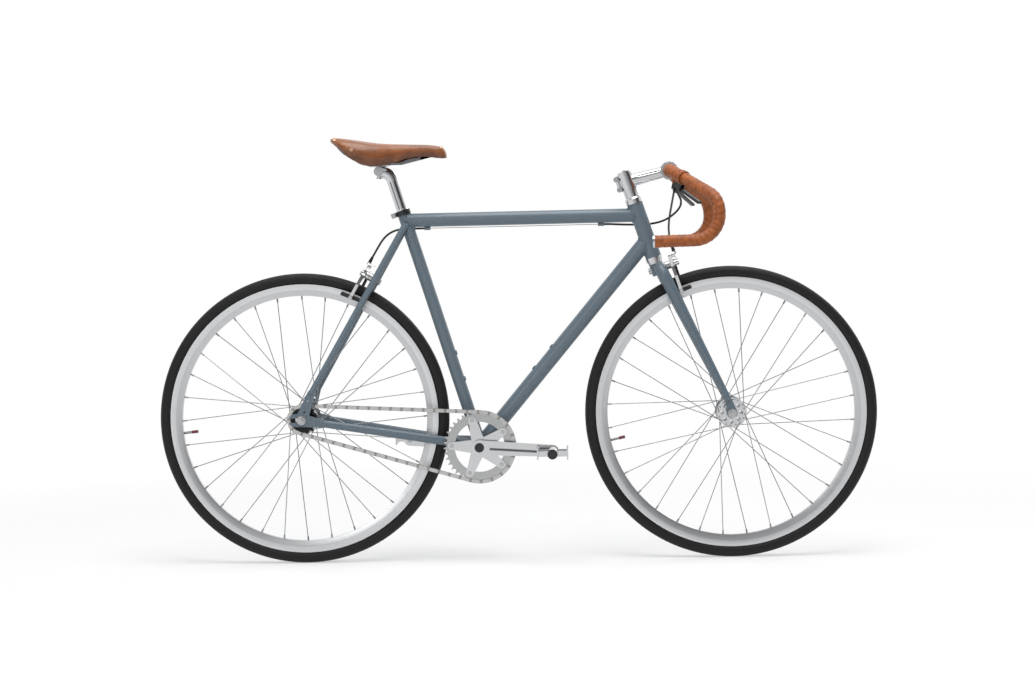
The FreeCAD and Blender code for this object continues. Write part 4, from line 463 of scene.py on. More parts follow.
weld_sizes = {
    "Bead Radius": 0.0021,
    "Ripple Pitch": 0.0026,
    "Ripple Height": 0.00022,
    "Paint": frame_paint,
}
top_tube_middle = (top_tube_rear + top_tube_front) / 2
down_tube_middle = (bracket + down_tube_front) / 2
seat_tube_half = 0.25
seat_tube_middle = bracket + seat_up * seat_tube_half
head_tube = (head_low, steer_up, head_tube_radius)
seat_tube = (bracket, seat_up, seat_tube_radius)
shell_tube = (bracket, Vector((0, 1, 0)), shell_radius)
welds = (
    ("weld_top_tube_front", top_tube_middle, top_tube_front, top_tube_radius, head_tube),
    ("weld_top_tube_rear", top_tube_middle, top_tube_rear, top_tube_radius, seat_tube),
    ("weld_down_tube_front", down_tube_middle, down_tube_front, down_tube_radius, head_tube),
    ("weld_down_tube_rear", down_tube_middle, bracket, down_tube_radius, shell_tube),
    ("weld_seat_tube", seat_tube_middle, bracket, seat_tube_radius, shell_tube),
)
for weld_name, *weld_places in welds:
    weld = shaped(weld_name, weld_bead, weld_line(*weld_places), weld_sizes)
    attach(weld, "frame")

# Seat collar, headset and bottom bracket: turned alloy rings, pressed into the frame or clamped on it.
# The collar is anodised dark and has a steel bolt, and the headset and bracket cups are polished.

# Fine circles that a lathe leaves round an axle or a bore
turned_lines, turned_in = shader_group(
    "turned_lines",
    [("Centre", "Vector", (0, 0, 0)), ("Reach", "Vector", (1, 0, 1)), ("Line Scale", "Float", 2500.0)],
    [("Height", "Float")],
)
turned_place = object_place(turned_lines)
turned_from = vectors(turned_lines, "SUBTRACT", turned_place, turned_in["Centre"])
turned_flat = vectors(turned_lines, "MULTIPLY", turned_from, turned_in["Reach"])
turned_radius = vectors(turned_lines, "LENGTH", turned_flat)
turned_noise = add_node(
    turned_lines,
    "ShaderNodeTexNoise",
    {"W": turned_radius, "Scale": turned_in["Line Scale"], "Detail": 3.0},
    noise_dimensions="1D",
).outputs["Fac"]
group_end(turned_lines, Height=turned_noise)
bare_metal = {"Metallic": 1.0}


def turned_material(name, colour, finish, centre, line_scale, line_depth):
    material, tree, shader = uneven_parts(name, colour, finish, bare_metal, 0.00001)
    lines = group_node(tree, turned_lines, {"Centre": centre, "Line Scale": line_scale})
    raise_grain(tree, shader, lines["Height"], 0.5, line_depth)
    return material


alloy_finish = grained(0.10, 45.0, 1600.0, 0.17, 0.14)
alloy_colour = (205, 206, 208)
polished_alloy = uneven_material("polished_alloy", alloy_colour, alloy_finish, bare_metal, 0.00003)
dark_alloy = uneven_material(
    "dark_alloy", (52, 54, 57), grained(0.15, 60.0, 1500.0, 0.32, 0.12), {"Metallic": 0.7}, 0.00003
)
bolt_steel = uneven_material(
    "bolt_steel", (186, 187, 189), grained(0.2, 120.0, 2000.0, 0.26, 0.15), bare_metal, 0.00003
)


def tint(name, slot, chosen):
    for face in nodes[name].data.polygons:
        if chosen(face.center):
            face.material_index = slot


def in_collar_bolt(place):
    front, side, low, high = -0.2745, 0.0141, 0.8035, 0.8135
    return place.x < front and abs(place.y) < side and low < place.z < high


dress(("seat_collar",), dark_alloy, bolt_steel)
tint("seat_collar", 1, in_collar_bolt)
dress(("headset", "bottom_bracket"), polished_alloy)

# The fork: a steel steerer in a forged crown, with two tapered blades raked forward to slotted ends,
# painted as the frame is. Polished spacers stack on the steerer above the headset.
dress(("fork_crown", "fork_blades"), frame_paint)
dress(("steerer", "headset_spacers"), polished_alloy)

# Cranks: forged and polished alloy arms on a square axle, with a one-piece ring bolted to five spider
# arms. Black caps close the axle bolts.
black_plastic = uneven_material(
    "black_plastic",
    (30, 30, 31),
    grained(0.25, 80.0, 1300.0, 0.42, 0.15),
    {"Specular IOR Level": 0.5},
    0.00006,
)
ring_alloy = turned_material(
    "ring_alloy", (180, 181, 181), {**alloy_finish, "Roughness": 0.22}, bracket, 700.0, 0.00002
)


# Straight flute along a forged or drawn piece, as a line of given width beside its axis. Where it is used,
# the line is sunk by bump and darkened as painted shade in the groove.
flute_line, flute_in = shader_group(
    "flute_line",
    [
        ("Centre", "Vector", (0, 0, 0)),
        ("Along", "Vector", (1, 0, 0)),
        ("Offset", "Float", 0.0),
        ("Half Width", "Float", 0.002),
        ("Start", "Float", 0.0),
        ("End", "Float", 1.0),
    ],
    [("Mask", "Float")],
)
flute_place = object_place(flute_line)
flute_from = vectors(flute_line, "SUBTRACT", flute_place, flute_in["Centre"])
flute_run = vectors(flute_line, "DOT_PRODUCT", flute_from, flute_in["Along"])
flute_across = vectors(flute_line, "CROSS_PRODUCT", flute_in["Along"], (0, 1, 0))
flute_side = vectors(flute_line, "DOT_PRODUCT", flute_from, flute_across)
flute_off = maths(flute_line, "SUBTRACT", flute_side, flute_in["Offset"])
flute_gap = maths(flute_line, "ABSOLUTE", flute_off)
flute_reach = (0.0, flute_in["Half Width"])
flute_near = ranged(flute_line, flute_gap, flute_reach, (1.0, 0.0), interpolation_type="SMOOTHSTEP")
flute_after = maths(flute_line, "GREATER_THAN", flute_run, flute_in["Start"])
flute_before = maths(flute_line, "LESS_THAN", flute_run, flute_in["End"])
flute_within = maths(flute_line, "MULTIPLY", flute_after, flute_before)
flute_mask = maths(flute_line, "MULTIPLY", flute_near, flute_within)
group_end(flute_line, Mask=flute_mask)


def fluted_alloy(name, centre, along, lines, start, end):
    material, tree, shader = uneven_parts(name, alloy_colour, alloy_finish, bare_metal, 0.00002)
    base = shader.inputs["Base Color"].links[0].from_socket
    run = {"Centre": centre, "Along": along, "Start": start, "End": end}
    depth = 0.0
    for offset, half_width in lines:
        flute = group_node(tree, flute_line, {**run, "Offset": offset, "Half Width": half_width})
        depth = maths(tree, "ADD", depth, flute["Mask"])
    # painted shade: the base colour is darkened along each flute, as the shade in its groove
    dark = ranged(tree, depth, given=(1.0, 0.12))
    groove_shaded_colour = scaled(tree, base, dark)
    tree.links.new(groove_shaded_colour, shader.inputs["Base Color"])
    raise_grain(tree, shader, depth, 0.7, 0.0008, invert=True)
    return material


crank_run = Vector((0.99756, 0, -0.06976))
crank_flute_start = 0.024
crank_flute_end = 0.142
for crank_name, crank_way in (("right_crank", 1), ("left_crank", -1)):
    crank_alloy = fluted_alloy(
        crank_name + "_alloy",
        bracket,
        crank_run * crank_way,
        ((-0.001 * crank_way, 0.0042),),
        crank_flute_start,
        crank_flute_end,
    )
    dress((crank_name,), crank_alloy)
ring_outside = -0.0445
ring_inside = -0.0415
dress(("chainring",), ring_alloy, bolt_steel)
tint("chainring", 1, lambda place: place.y < ring_outside or place.y > ring_inside)
dress(("crank_caps",), black_plastic)
dress(("crank_axles",), bolt_steel)

# Hubs and axles: turned alloy shells with wide flanges, on steel axles held by track nuts.
# The rear hub carries a blackened cog and lockring on the drive side.
front_axle = (0.4975, 0, 0.339)
rear_axle = (-0.4975, 0, 0.339)
black_steel = uneven_material(
    "black_steel", (42, 42, 43), grained(0.35, 70.0, 1500.0, 0.34, 0.2), {"Metallic": 0.85}, 0.00004
)
for hub_name, hub_axle in (("front_hub", front_axle), ("rear_hub", rear_axle)):
    hub_alloy = turned_material(
        hub_name + "_alloy", alloy_colour, alloy_finish, hub_axle, 1400.0, 0.00005
    )
    dress((hub_name,), hub_alloy)
dress(("front_axle", "rear_axle"), bolt_steel)
dress(("track_cog",), black_steel)

# Spokes: drawn stainless wire, with a bend that hooks in the hub's flange and a plated nipple that draws
# it tight in the rim. Each crosses three others.
spoke_steel = uneven_material(
    "spoke_steel", (150, 151, 153), grained(0.2, 300.0, 2500.0, 0.22, 0.1), bare_metal, 0.00002
)
dress(("front_spokes", "rear_spokes"), spoke_steel)

# Rims: a silver alloy box section rolled into a hoop. The braking track on each side is turned flat, and
# is a little brighter than the rest.
rim_finish = grained(0.06, 30.0, 1500.0, 0.30, 0.10)
track_finish = grained(0.05, 30.0, 1500.0, 0.34, 0.08)
track_side = 0.0108
for rim_name, rim_axle in (("front_rim", front_axle), ("rear_rim", rear_axle)):
    rim_alloy = turned_material(
        rim_name + "_alloy", (196, 197, 199), rim_finish, rim_axle, 1500.0, 0.00008
    )
    track_alloy = turned_material(
        rim_name + "_track", (214, 215, 217), track_finish, rim_axle, 1500.0, 0.00005
    )
    dress((rim_name,), rim_alloy, track_alloy)
    tint(rim_name, 1, lambda place: abs(place.y) > track_side)

# Inner tubes and valves: a rubber tube hidden in the tyre, with a plated, threaded valve through the rim.
# A dark red cap screws on the valve's end.
valve_reach = 0.290
cap_reach = 0.2685
tube_rubber = uneven_material(
    "tube_rubber", (34, 33, 33), grained(0.2, 90.0, 900.0, 0.6, 0.1), {"Specular IOR Level": 0.4}, 0.00008
)
valve_plating = uneven_material(
    "valve_plating", (150, 152, 150), grained(0.2, 200.0, 2200.0, 0.3, 0.1), bare_metal, 0.00004
)
cap_maroon = uneven_material(
    "cap_maroon",
    (98, 36, 48),
    grained(0.2, 250.0, 1500.0, 0.35, 0.1),
    {"Specular IOR Level": 0.5},
    0.00005,
)
for tube_name, tube_axle in (("front_inner_tube", front_axle), ("rear_inner_tube", rear_axle)):
    dress((tube_name,), tube_rubber, valve_plating, cap_maroon)
    tint(tube_name, 1, lambda place: (place - Vector(tube_axle)).length < valve_reach)
    tint(tube_name, 2, lambda place: (place - Vector(tube_axle)).length < cap_reach)

# Tyres: slim black rubber casings, moulded with a smooth crown, fine cross-cut shoulders and ribbed side
# walls. Each hooks inside its rim, and stands for the plain ring there.
tyre_section = 0.014
tyre_wall = 0.0024
tyre_run = 0.325
tyre_steps = 288
tyre_sides = 56
tyre_inner_sides = 12
tyre_open = math.radians(141)
tyre_rib_height = 0.00022
tyre_rib_spread = 1.7
tyre_rib_places = (78, 96, 118)
tyre_crown_height = 0.00018
tyre_crown_spread = 3.0


def tyre_height(angle):
    side = abs(math.degrees(angle))
    ribs = sum(
        tyre_rib_height * math.exp(-(((side - place) / tyre_rib_spread) ** 2)) for place in tyre_rib_places
    )
    crown = tyre_crown_height * math.exp(-((side / tyre_crown_spread) ** 2))
    return tyre_section + ribs + crown


def hoop_faces(rows, columns):
    faces = []
    for row in range(rows):
        here, ahead = row * columns, (row + 1) % rows * columns
        for place in range(columns):
            beside = (place + 1) % columns
            faces.append((here + place, here + beside, ahead + beside, ahead + place))
    return faces


def tyre_mesh(name, axle):
    section = []
    for index in range(tyre_sides + 1):
        angle = tyre_open * (2 * index / tyre_sides - 1)
        outer = tyre_height(angle)
        section.append((tyre_run + outer * math.cos(angle), outer * math.sin(angle), angle))
    inner = tyre_section - tyre_wall
    for index in range(tyre_inner_sides + 1):
        angle = tyre_open * (1 - 2 * index / tyre_inner_sides)
        section.append((tyre_run + inner * math.cos(angle), inner * math.sin(angle), angle))
    points = []
    spots = []
    for step in range(tyre_steps):
        turn = math.tau * step / tyre_steps
        for index, (radius, across, low) in enumerate(section):
            points.append((axle[0] + radius * math.cos(turn), across, axle[2] + radius * math.sin(turn)))
            high = section[(index + 1) % len(section)][2]
            spots += [(step, low), (step, high), (step + 1, high), (step + 1, low)]
    mesh = mesh_of(name, points, [], hoop_faces(tyre_steps, len(section)), tyre_rubber)
    layer = mesh.uv_layers.new(name="tread")
    for corner, (step, angle) in zip(layer.data, spots):
        corner.uv = (step / tyre_steps, angle / math.pi * 0.5 + 0.5)
    return mesh


tyre_rubber, tyre_tree, tyre_shader = new_finish("tyre_rubber", {"Specular IOR Level": 0.35})
tyre_made = group_node(
    tyre_tree, uneven_finish, {"Colour": srgb(18, 17, 17), **grained(0.35, 25.0, 1500.0, 0.56, 0.2)}
)
tyre_uv = add_node(tyre_tree, "ShaderNodeUVMap", uv_map="tread").outputs["UV"]
tyre_cut = output(tyre_tree, "ShaderNodeMapping", {"Vector": tyre_uv, "Scale": (900.0, 60.0, 1.0)})
tyre_file = add_node(tyre_tree, "ShaderNodeTexChecker", {"Vector": tyre_cut, "Scale": 1.0}).outputs["Fac"]
tyre_split = add_node(tyre_tree, "ShaderNodeSeparateXYZ", {"Vector": tyre_uv}).outputs["Y"]
tyre_from_crown = maths(tyre_tree, "SUBTRACT", tyre_split, 0.5)
tyre_side = maths(tyre_tree, "ABSOLUTE", tyre_from_crown)
tyre_band = ranged(tyre_tree, tyre_side, (0.045, 0.055))
tyre_limit = ranged(tyre_tree, tyre_side, (0.15, 0.165), (1.0, 0.0))
tyre_zone = maths(tyre_tree, "MULTIPLY", tyre_band, tyre_limit)
tyre_tread = maths(tyre_tree, "MULTIPLY", tyre_zone, tyre_file)
tyre_grain = maths(tyre_tree, "MULTIPLY_ADD", tyre_made["Height"], 0.25, tyre_tread)
lay_colour(tyre_tree, tyre_shader, tyre_made)
raise_grain(tyre_tree, tyre_shader, tyre_grain, 0.6, 0.0003)
for wheel, wheel_axle in (("front", front_axle), ("rear", rear_axle)):
    tyre = add_piece(wheel + "_tyre_casing", tyre_mesh(wheel + "_tyre_casing", wheel_axle))
    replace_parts(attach(tyre, wheel + "_wheel"), wheel + "_tyre")

# Chain: plated steel links riveted on pins, wrapped from the cog to the ring. The outer plates' faces keep
# the plated colour, and what lies between them is darkened as painted shade.
chain_line = -0.043
chain_plate_side = 0.0027
chain_steel = uneven_material(
    "chain_steel", (196, 196, 195), grained(0.3, 250.0, 2000.0, 0.28, 0.2), bare_metal, 0.00003
)
# painted shade: the steel between the outer plates is darker than the plates' faces
chain_shaded_between = uneven_material(
    "chain_shaded_between", (150, 148, 144), grained(0.3, 250.0, 2000.0, 0.4, 0.2), bare_metal, 0.00003
)
dress(("chain",), chain_shaded_between, chain_steel)
tint("chain", 1, lambda place: abs(place.y - chain_line) > chain_plate_side)

# Pedals: cast and polished alloy bodies with toothed cages, which turn on steel axles screwed into the
# cranks. A black dust cap closes the outer end of each.
dust_cap_side = 0.1538
dress(("right_pedal", "left_pedal"), polished_alloy, black_plastic)
tint("right_pedal", 1, lambda place: place.y < -dust_cap_side)
tint("left_pedal", 1, lambda place: place.y > dust_cap_side)

# Seatpost, clamp and rails: a polished alloy post with two flutes, bent back to a head. Two grooved
# plates and a bolt clamp the saddle's steel rails on it, and the rails are darkened as painted shade under
# the saddle. The copper rivet at each side of the hide is in the rails' node.
post_flutes = ((-0.0052, 0.0026), (0.0052, 0.0026))
post_flute_start = 0.58
post_flute_end = 0.648
side_rivet = 0.069
post_alloy = fluted_alloy(
    "post_alloy", bracket, seat_up, post_flutes, post_flute_start, post_flute_end
)
dress(("seatpost",), post_alloy)
dress(("saddle_clamp",), polished_alloy)
copper = uneven_material(
    "copper", (208, 164, 134), grained(0.35, 220.0, 1800.0, 0.28, 0.2), bare_metal, 0.00005
)
# painted shade: the rails' steel is darkened to read as the shade under the saddle
shaded_rail_steel = uneven_material(
    "shaded_rail_steel", (112, 112, 114), grained(0.2, 120.0, 1600.0, 0.34, 0.15), bare_metal, 0.00003
)
dress(("saddle_rails",), shaded_rail_steel, copper)
tint("saddle_rails", 1, lambda place: abs(place.y) > side_rivet)

# Saddle: one thick hide, wet-moulded to shape, skived at its lower edge and riveted to a plate at nose
# and rear. The leather is oiled tan, with a pressed line along the edge, and painted shade darkens it
# where it curves under.
saddle_rear = -0.42112
saddle_base = 0.92137
saddle_length = 0.268
saddle_width = 0.152
saddle_height = 0.070
saddle_hide = 0.0046
saddle_stations = (0.0, 0.07, 0.16, 0.27, 0.40, 0.54, 0.70, 0.86, 0.965, 1.0)
saddle_widths = (0.45, 0.80, 0.97, 1.0, 0.82, 0.52, 0.33, 0.27, 0.22, 0.12)
saddle_tops = (0.97, 0.985, 0.945, 0.88, 0.80, 0.76, 0.735, 0.705, 0.625, 0.48)
saddle_skirts = (0.86, 0.63, 0.315, 0.09, 0.0, 0.11, 0.285, 0.30, 0.26, 0.27)
saddle_nose_start = 0.985
saddle_nose_reach = 0.0155
saddle_tail_end = 0.02
saddle_tail_reach = 0.0205
saddle_nose_rise = 0.35
saddle_rows = 72
saddle_ribs = 56


def smooth_share(values, place):
    index = max(i for i in range(len(values) - 1) if saddle_stations[i] <= place)

    def slope(i):
        before = max(i - 1, 0)
        after = min(i + 1, len(values) - 1)
        return (values[after] - values[before]) / (saddle_stations[after] - saddle_stations[before])

    start, end = saddle_stations[index], saddle_stations[index + 1]
    step = end - start
    t = (place - start) / step
    low = values[index] * (2 * t**3 - 3 * t**2 + 1) + slope(index) * step * (t**3 - 2 * t**2 + t)
    return low + values[index + 1] * (3 * t**2 - 2 * t**3) + slope(index + 1) * step * (t**3 - t**2)


def saddle_row(share):
    half = saddle_width / 2 * smooth_share(saddle_widths, share)
    skirt = smooth_share(saddle_skirts, share) * saddle_height
    return half, skirt, smooth_share(saddle_tops, share) * saddle_height - skirt


def bent(start, pull, end, share):
    return start * (1 - share) ** 2 + pull * (2 * share * (1 - share)) + end * share**2


def saddle_outline(half, height):
    tuck, side_height, brow_width, brow_height, lift_width = 0.86, 0.45, 0.78, 0.88, 0.5
    low = Vector((half * tuck, 0))
    side = Vector((half, height * side_height))
    brow = Vector((half * brow_width, height * brow_height))
    lift = Vector((brow.x * lift_width, height))
    crown = Vector((0, height))
    flank = side * 2 - (low + brow) / 2
    points = []
    for step in range(saddle_ribs // 2 + 1):
        share = 2 * step / (saddle_ribs // 2)
        points.append(bent(low, flank, brow, share) if share < 1 else bent(brow, lift, crown, share - 1))
    return [Vector((-point.x, point.y)) for point in points] + points[-2::-1]


def rounding(past, reach):
    return math.sqrt(max(0.0, 1 - max(0.0, past / reach) ** 2))


saddle_points = []
for row in range(saddle_rows + 1):
    share = 0.5 - 0.5 * math.cos(math.pi * row / saddle_rows)
    nose_round = rounding(share - saddle_nose_start, saddle_nose_reach)
    tail_round = rounding(saddle_tail_end - share, saddle_tail_reach) * 0.5 + 0.5
    half, skirt, rise = saddle_row(share)
    rise *= saddle_nose_rise + (1 - saddle_nose_rise) * nose_round
    for across, up in saddle_outline(half * nose_round * tail_round, rise):
        saddle_points.append((saddle_rear + saddle_length * share, across, saddle_base + skirt + up))
saddle_count = saddle_ribs + 1
saddle_faces = [
    (corner, corner + saddle_count, corner + saddle_count + 1, corner + 1)
    for row in range(saddle_rows)
    for corner in range(row * saddle_count, row * saddle_count + saddle_ribs)
]
saddle_mesh = mesh_of("saddle_leather", saddle_points, [], saddle_faces)
saddle_layer = saddle_mesh.uv_layers.new(name="hide")
for loop, corner in zip(saddle_mesh.loops, saddle_layer.data):
    row, rib = divmod(loop.vertex_index, saddle_count)
    corner.uv = (row / saddle_rows, rib / saddle_ribs)


# Creased and pored hide: cells of grain with fine creases, and a slow change of tone as the oil took. A
# shade input darkens the tone towards the dark colour, as painted shade.
hide_grain, hide_in = shader_group(
    "hide_grain",
    [
        ("Light", "Color", (0.3, 0.12, 0.05, 1)),
        ("Dark", "Color", (0.1, 0.04, 0.02, 1)),
        ("Patch Scale", "Float", 30.0),
        ("Pore Scale", "Float", 900.0),
        ("Painted Shade", "Float", 0.0),
    ],
    finish_outputs,
)
hide_place = object_place(hide_grain)
hide_patch = noise(hide_grain, hide_place, hide_in["Patch Scale"], 6.0, Roughness=0.62)
hide_cells = add_node(
    hide_grain,
    "ShaderNodeTexVoronoi",
    {"Vector": hide_place, "Scale": hide_in["Pore Scale"]},
    feature="DISTANCE_TO_EDGE",
).outputs["Distance"]
hide_fine = noise(hide_grain, hide_place, hide_in["Pore Scale"], 4.0)
hide_crease = ranged(hide_grain, hide_cells, (0.0, 0.16))
hide_tone = ranged(hide_grain, hide_patch, (0.32, 0.66))
# painted shade: the tone is lowered by the shade input, towards the dark colour
hide_lit = maths(hide_grain, "SUBTRACT", hide_tone, hide_in["Painted Shade"], use_clamp=True)
# painted shade: the colour is darkened in the creases between the grain's cells
hide_crease_shade = ranged(hide_grain, hide_crease, given=(0.86, 1.0))
mix_factor, mix_from, mix_to, mix_result = 0, 6, 7, 2  # the Mix node's sockets for colours
hide_blend = {mix_factor: hide_lit, mix_from: hide_in["Dark"], mix_to: hide_in["Light"]}
hide_mix = add_node(hide_grain, "ShaderNodeMix", hide_blend, data_type="RGBA").outputs[mix_result]
hide_colour = scaled(hide_grain, hide_mix, hide_crease_shade)
hide_rough = ranged(hide_grain, hide_patch, given=(0.36, 0.58))
hide_high = maths(hide_grain, "MULTIPLY_ADD", hide_fine, 0.5, hide_crease)
group_end(hide_grain, Colour=hide_colour, Roughness=hide_rough, Height=hide_high)

saddle_leather, saddle_tree, saddle_shader = new_finish(
    "saddle_leather", {"Specular IOR Level": 0.42, "Coat Weight": 0.34, "Coat Roughness": 0.17}
)
saddle_uv = add_node(saddle_tree, "ShaderNodeUVMap", uv_map="hide").outputs["UV"]
saddle_across = add_node(saddle_tree, "ShaderNodeSeparateXYZ", {"Vector": saddle_uv}).outputs["Y"]
saddle_centred = maths(saddle_tree, "SUBTRACT", saddle_across, 0.5)
saddle_side = maths(saddle_tree, "ABSOLUTE", saddle_centred)
# painted shade: the hide's colour is darkened towards its sides, where it curves under
saddle_underside_shade = ranged(saddle_tree, saddle_side, (0.34, 0.5), (0.0, 0.55))
saddle_made = group_node(
    saddle_tree,
    hide_grain,
    {
        "Light": srgb(156, 92, 43),
        "Dark": srgb(92, 48, 17),
        "Patch Scale": 22.0,
        "Pore Scale": 1100.0,
        "Painted Shade": saddle_underside_shade,
    },
)
saddle_line = 0.462
saddle_off_line = maths(saddle_tree, "SUBTRACT", saddle_side, saddle_line)
saddle_line_gap = maths(saddle_tree, "ABSOLUTE", saddle_off_line)
saddle_pressed = ranged(saddle_tree, saddle_line_gap, (0.0, 0.008), (-2.5, 0.0))
saddle_relief = maths(saddle_tree, "ADD", saddle_made["Height"], saddle_pressed)
lay_colour(saddle_tree, saddle_shader, saddle_made)
raise_grain(saddle_tree, saddle_shader, saddle_relief, 0.35, 0.00012)
saddle_mesh.materials.append(saddle_leather)
saddle = add_piece("saddle_leather", saddle_mesh)
saddle_thick = saddle.modifiers.new("hide", "SOLIDIFY")
saddle_thick.thickness = saddle_hide
saddle_thick.offset = -1.0
saddle_thick.use_even_offset = False
saddle_round = saddle.modifiers.new("skived_edge", "SUBSURF")
saddle_round.levels = 1
saddle_round.render_levels = 1
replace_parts(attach(saddle, "seat"), "saddle_cover")

# Saddle rivets: hammered copper heads, five along the rear edge and three on the nose, which hold the
# hide to its plates. Each stands proud of the hide.
rivet_head, rivet_in = shape_tree(
    "rivet_head", [("Head Radius", "Float"), ("Head Height", "Float"), ("Metal", "Material")]
)
rivet_ball = output(
    rivet_head,
    "GeometryNodeMeshUVSphere",
    {"Segments": 16, "Rings": 8, "Radius": rivet_in["Head Radius"]},
)
rivet_ratio = maths(rivet_head, "DIVIDE", rivet_in["Head Height"], rivet_in["Head Radius"])
rivet_scale = output(rivet_head, "ShaderNodeCombineXYZ", {"X": 1.0, "Y": 1.0, "Z": rivet_ratio})
rivet_flat = output(
    rivet_head, "GeometryNodeTransform", {"Geometry": rivet_ball, "Scale": rivet_scale}
)
rivet_way = output(
    rivet_head, "GeometryNodeInputNamedAttribute", {"Name": "out"}, data_type="FLOAT_VECTOR"
)
rivet_turn = output(rivet_head, "FunctionNodeAlignRotationToVector", {"Vector": rivet_way}, axis="Z")
rivet_points = output(rivet_head, "GeometryNodeMeshToPoints", {"Mesh": rivet_in["Geometry"]})
rivet_set = output(
    rivet_head,
    "GeometryNodeInstanceOnPoints",
    {"Points": rivet_points, "Instance": rivet_flat, "Rotation": rivet_turn},
)
shape_end(rivet_head, rivet_set, rivet_in["Metal"])


def hide_spot(share, across_share):
    half, skirt, rise = saddle_row(share)
    outline = saddle_outline(half, rise)
    index = round((across_share * 0.5 + 0.5) * saddle_ribs)
    point = outline[index]
    ahead = outline[min(index + 1, saddle_ribs)] - outline[max(index - 1, 0)]
    return (
        Vector((saddle_rear + saddle_length * share, point.x, saddle_base + skirt + point.y)),
        Vector((0, -ahead.y, ahead.x)).normalized(),
    )


rear_rivets = 0.045
nose_rivets = 0.955
rivet_spots = [hide_spot(rear_rivets, across) for across in (-0.62, -0.32, 0.0, 0.32, 0.62)]
rivet_spots += [hide_spot(nose_rivets, across) for across in (-0.42, 0.0, 0.42)]
rivet_mesh = mesh_of("saddle_rivets", [spot for spot, way in rivet_spots], [], [])
rivet_mesh.attributes.new("out", "FLOAT_VECTOR", "POINT").data.foreach_set(
    "vector", [number for spot, way in rivet_spots for number in way]
)
rivet_sizes = {"Head Radius": 0.0045, "Head Height": 0.0016, "Metal": copper}
rivets = shaped("saddle_rivets", rivet_head, rivet_mesh, rivet_sizes)
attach(rivets, "seat")

# Stem and bar: a polished alloy stem with one flute, clamped on the steerer by two bolts. A bolted face
# plate holds a polished drop bar in it.
bar_middle = Vector((0.361838, 0, 0.900939))
stem_along = (0.9779, 0, 0.2091)
stem_flute = ((0.0045, 0.0030),)
stem_flute_start = -0.074
stem_flute_end = -0.022
stem_alloy = fluted_alloy(
    "stem_alloy", bar_middle, stem_along, stem_flute, stem_flute_start, stem_flute_end
)
dress(("stem",), stem_alloy)
dress(("stem_face_plate", "handlebar"), polished_alloy)
dress(("stem_bolts",), bolt_steel)

# Bar wrap: a long strip of tan leather, wound from each end of the bar to the stem. Each turn laps over
# the last, which leaves a row of low steps, and the foot of each step is darkened as painted shade.
bar_route = (
    ((0.0, 0.024, 0.0), 0.0),
    ((0.0, 0.062, 0.0), 0.040),
    ((0.1035, 0.200, -0.0705), 0.046),
    ((0.1035, 0.200, -0.1615), 0.057),
    ((-0.042, 0.200, -0.1639), 0.0),
)
tape_wind, tape_in = shape_tree(
    "tape_wind",
    [
        ("Under Radius", "Float"),
        ("Tape Thickness", "Float"),
        ("Tape Pitch", "Float"),
        ("Hand", "Float"),
        ("Leather", "Material"),
    ],
)
tape_curve = output(tape_wind, "GeometryNodeMeshToCurve", {"Mesh": tape_in["Geometry"]})
tape_bend = output(tape_wind, "GeometryNodeInputNamedAttribute", {"Name": "bend"}, data_type="FLOAT")
tape_bent = output(
    tape_wind,
    "GeometryNodeFilletCurve",
    {"Curve": tape_curve, "Radius": tape_bend, "Count": 40, "Limit Radius": True},
    mode="POLY",
)
tape_even = output(
    tape_wind, "GeometryNodeResampleCurve", {"Curve": tape_bent, "Length": path_step}, mode="LENGTH"
)
tape_length = add_node(tape_wind, "GeometryNodeSplineParameter").outputs["Length"]
tape_path, tape_run = keep(tape_wind, tape_even, "Run", tape_length)
tape_ring = output(
    tape_wind, "GeometryNodeCurvePrimitiveCircle", {"Resolution": 44, "Radius": tape_in["Under Radius"]}
)
tape_round = add_node(tape_wind, "GeometryNodeSplineParameter").outputs["Factor"]
tape_profile, tape_turn = keep(tape_wind, tape_ring, "Turn", tape_round)
tape_tube = output(
    tape_wind,
    "GeometryNodeCurveToMesh",
    {"Curve": tape_path, "Profile Curve": tape_profile, "Fill Caps": True},
)
tape_count = maths(tape_wind, "DIVIDE", tape_run, tape_in["Tape Pitch"])
tape_phase = maths(tape_wind, "MULTIPLY_ADD", tape_turn, tape_in["Hand"], tape_count)
tape_share = maths(tape_wind, "FRACT", tape_phase)
tape_rise = maths(tape_wind, "POWER", tape_share, 1.6)
tape_swell = maths(tape_wind, "MULTIPLY", tape_rise, tape_in["Tape Thickness"])
tape_offset = scaled(tape_wind, output(tape_wind, "GeometryNodeInputNormal"), tape_swell)
tape_moved = output(
    tape_wind, "GeometryNodeSetPosition", {"Geometry": tape_tube, "Offset": tape_offset}
)
tape_marked = output(
    tape_wind,
    "GeometryNodeStoreNamedAttribute",
    {"Geometry": tape_moved, "Name": "tape_share", "Value": tape_share},
    data_type="FLOAT",
    domain="POINT",
)
shape_end(tape_wind, tape_marked, tape_in["Leather"])

bar_leather, wrap_tree, wrap_shader = new_finish(
    "bar_leather", {"Specular IOR Level": 0.4, "Coat Weight": 0.1, "Coat Roughness": 0.3}
)
wrap_share = add_node(wrap_tree, "ShaderNodeAttribute", attribute_name="tape_share").outputs["Fac"]
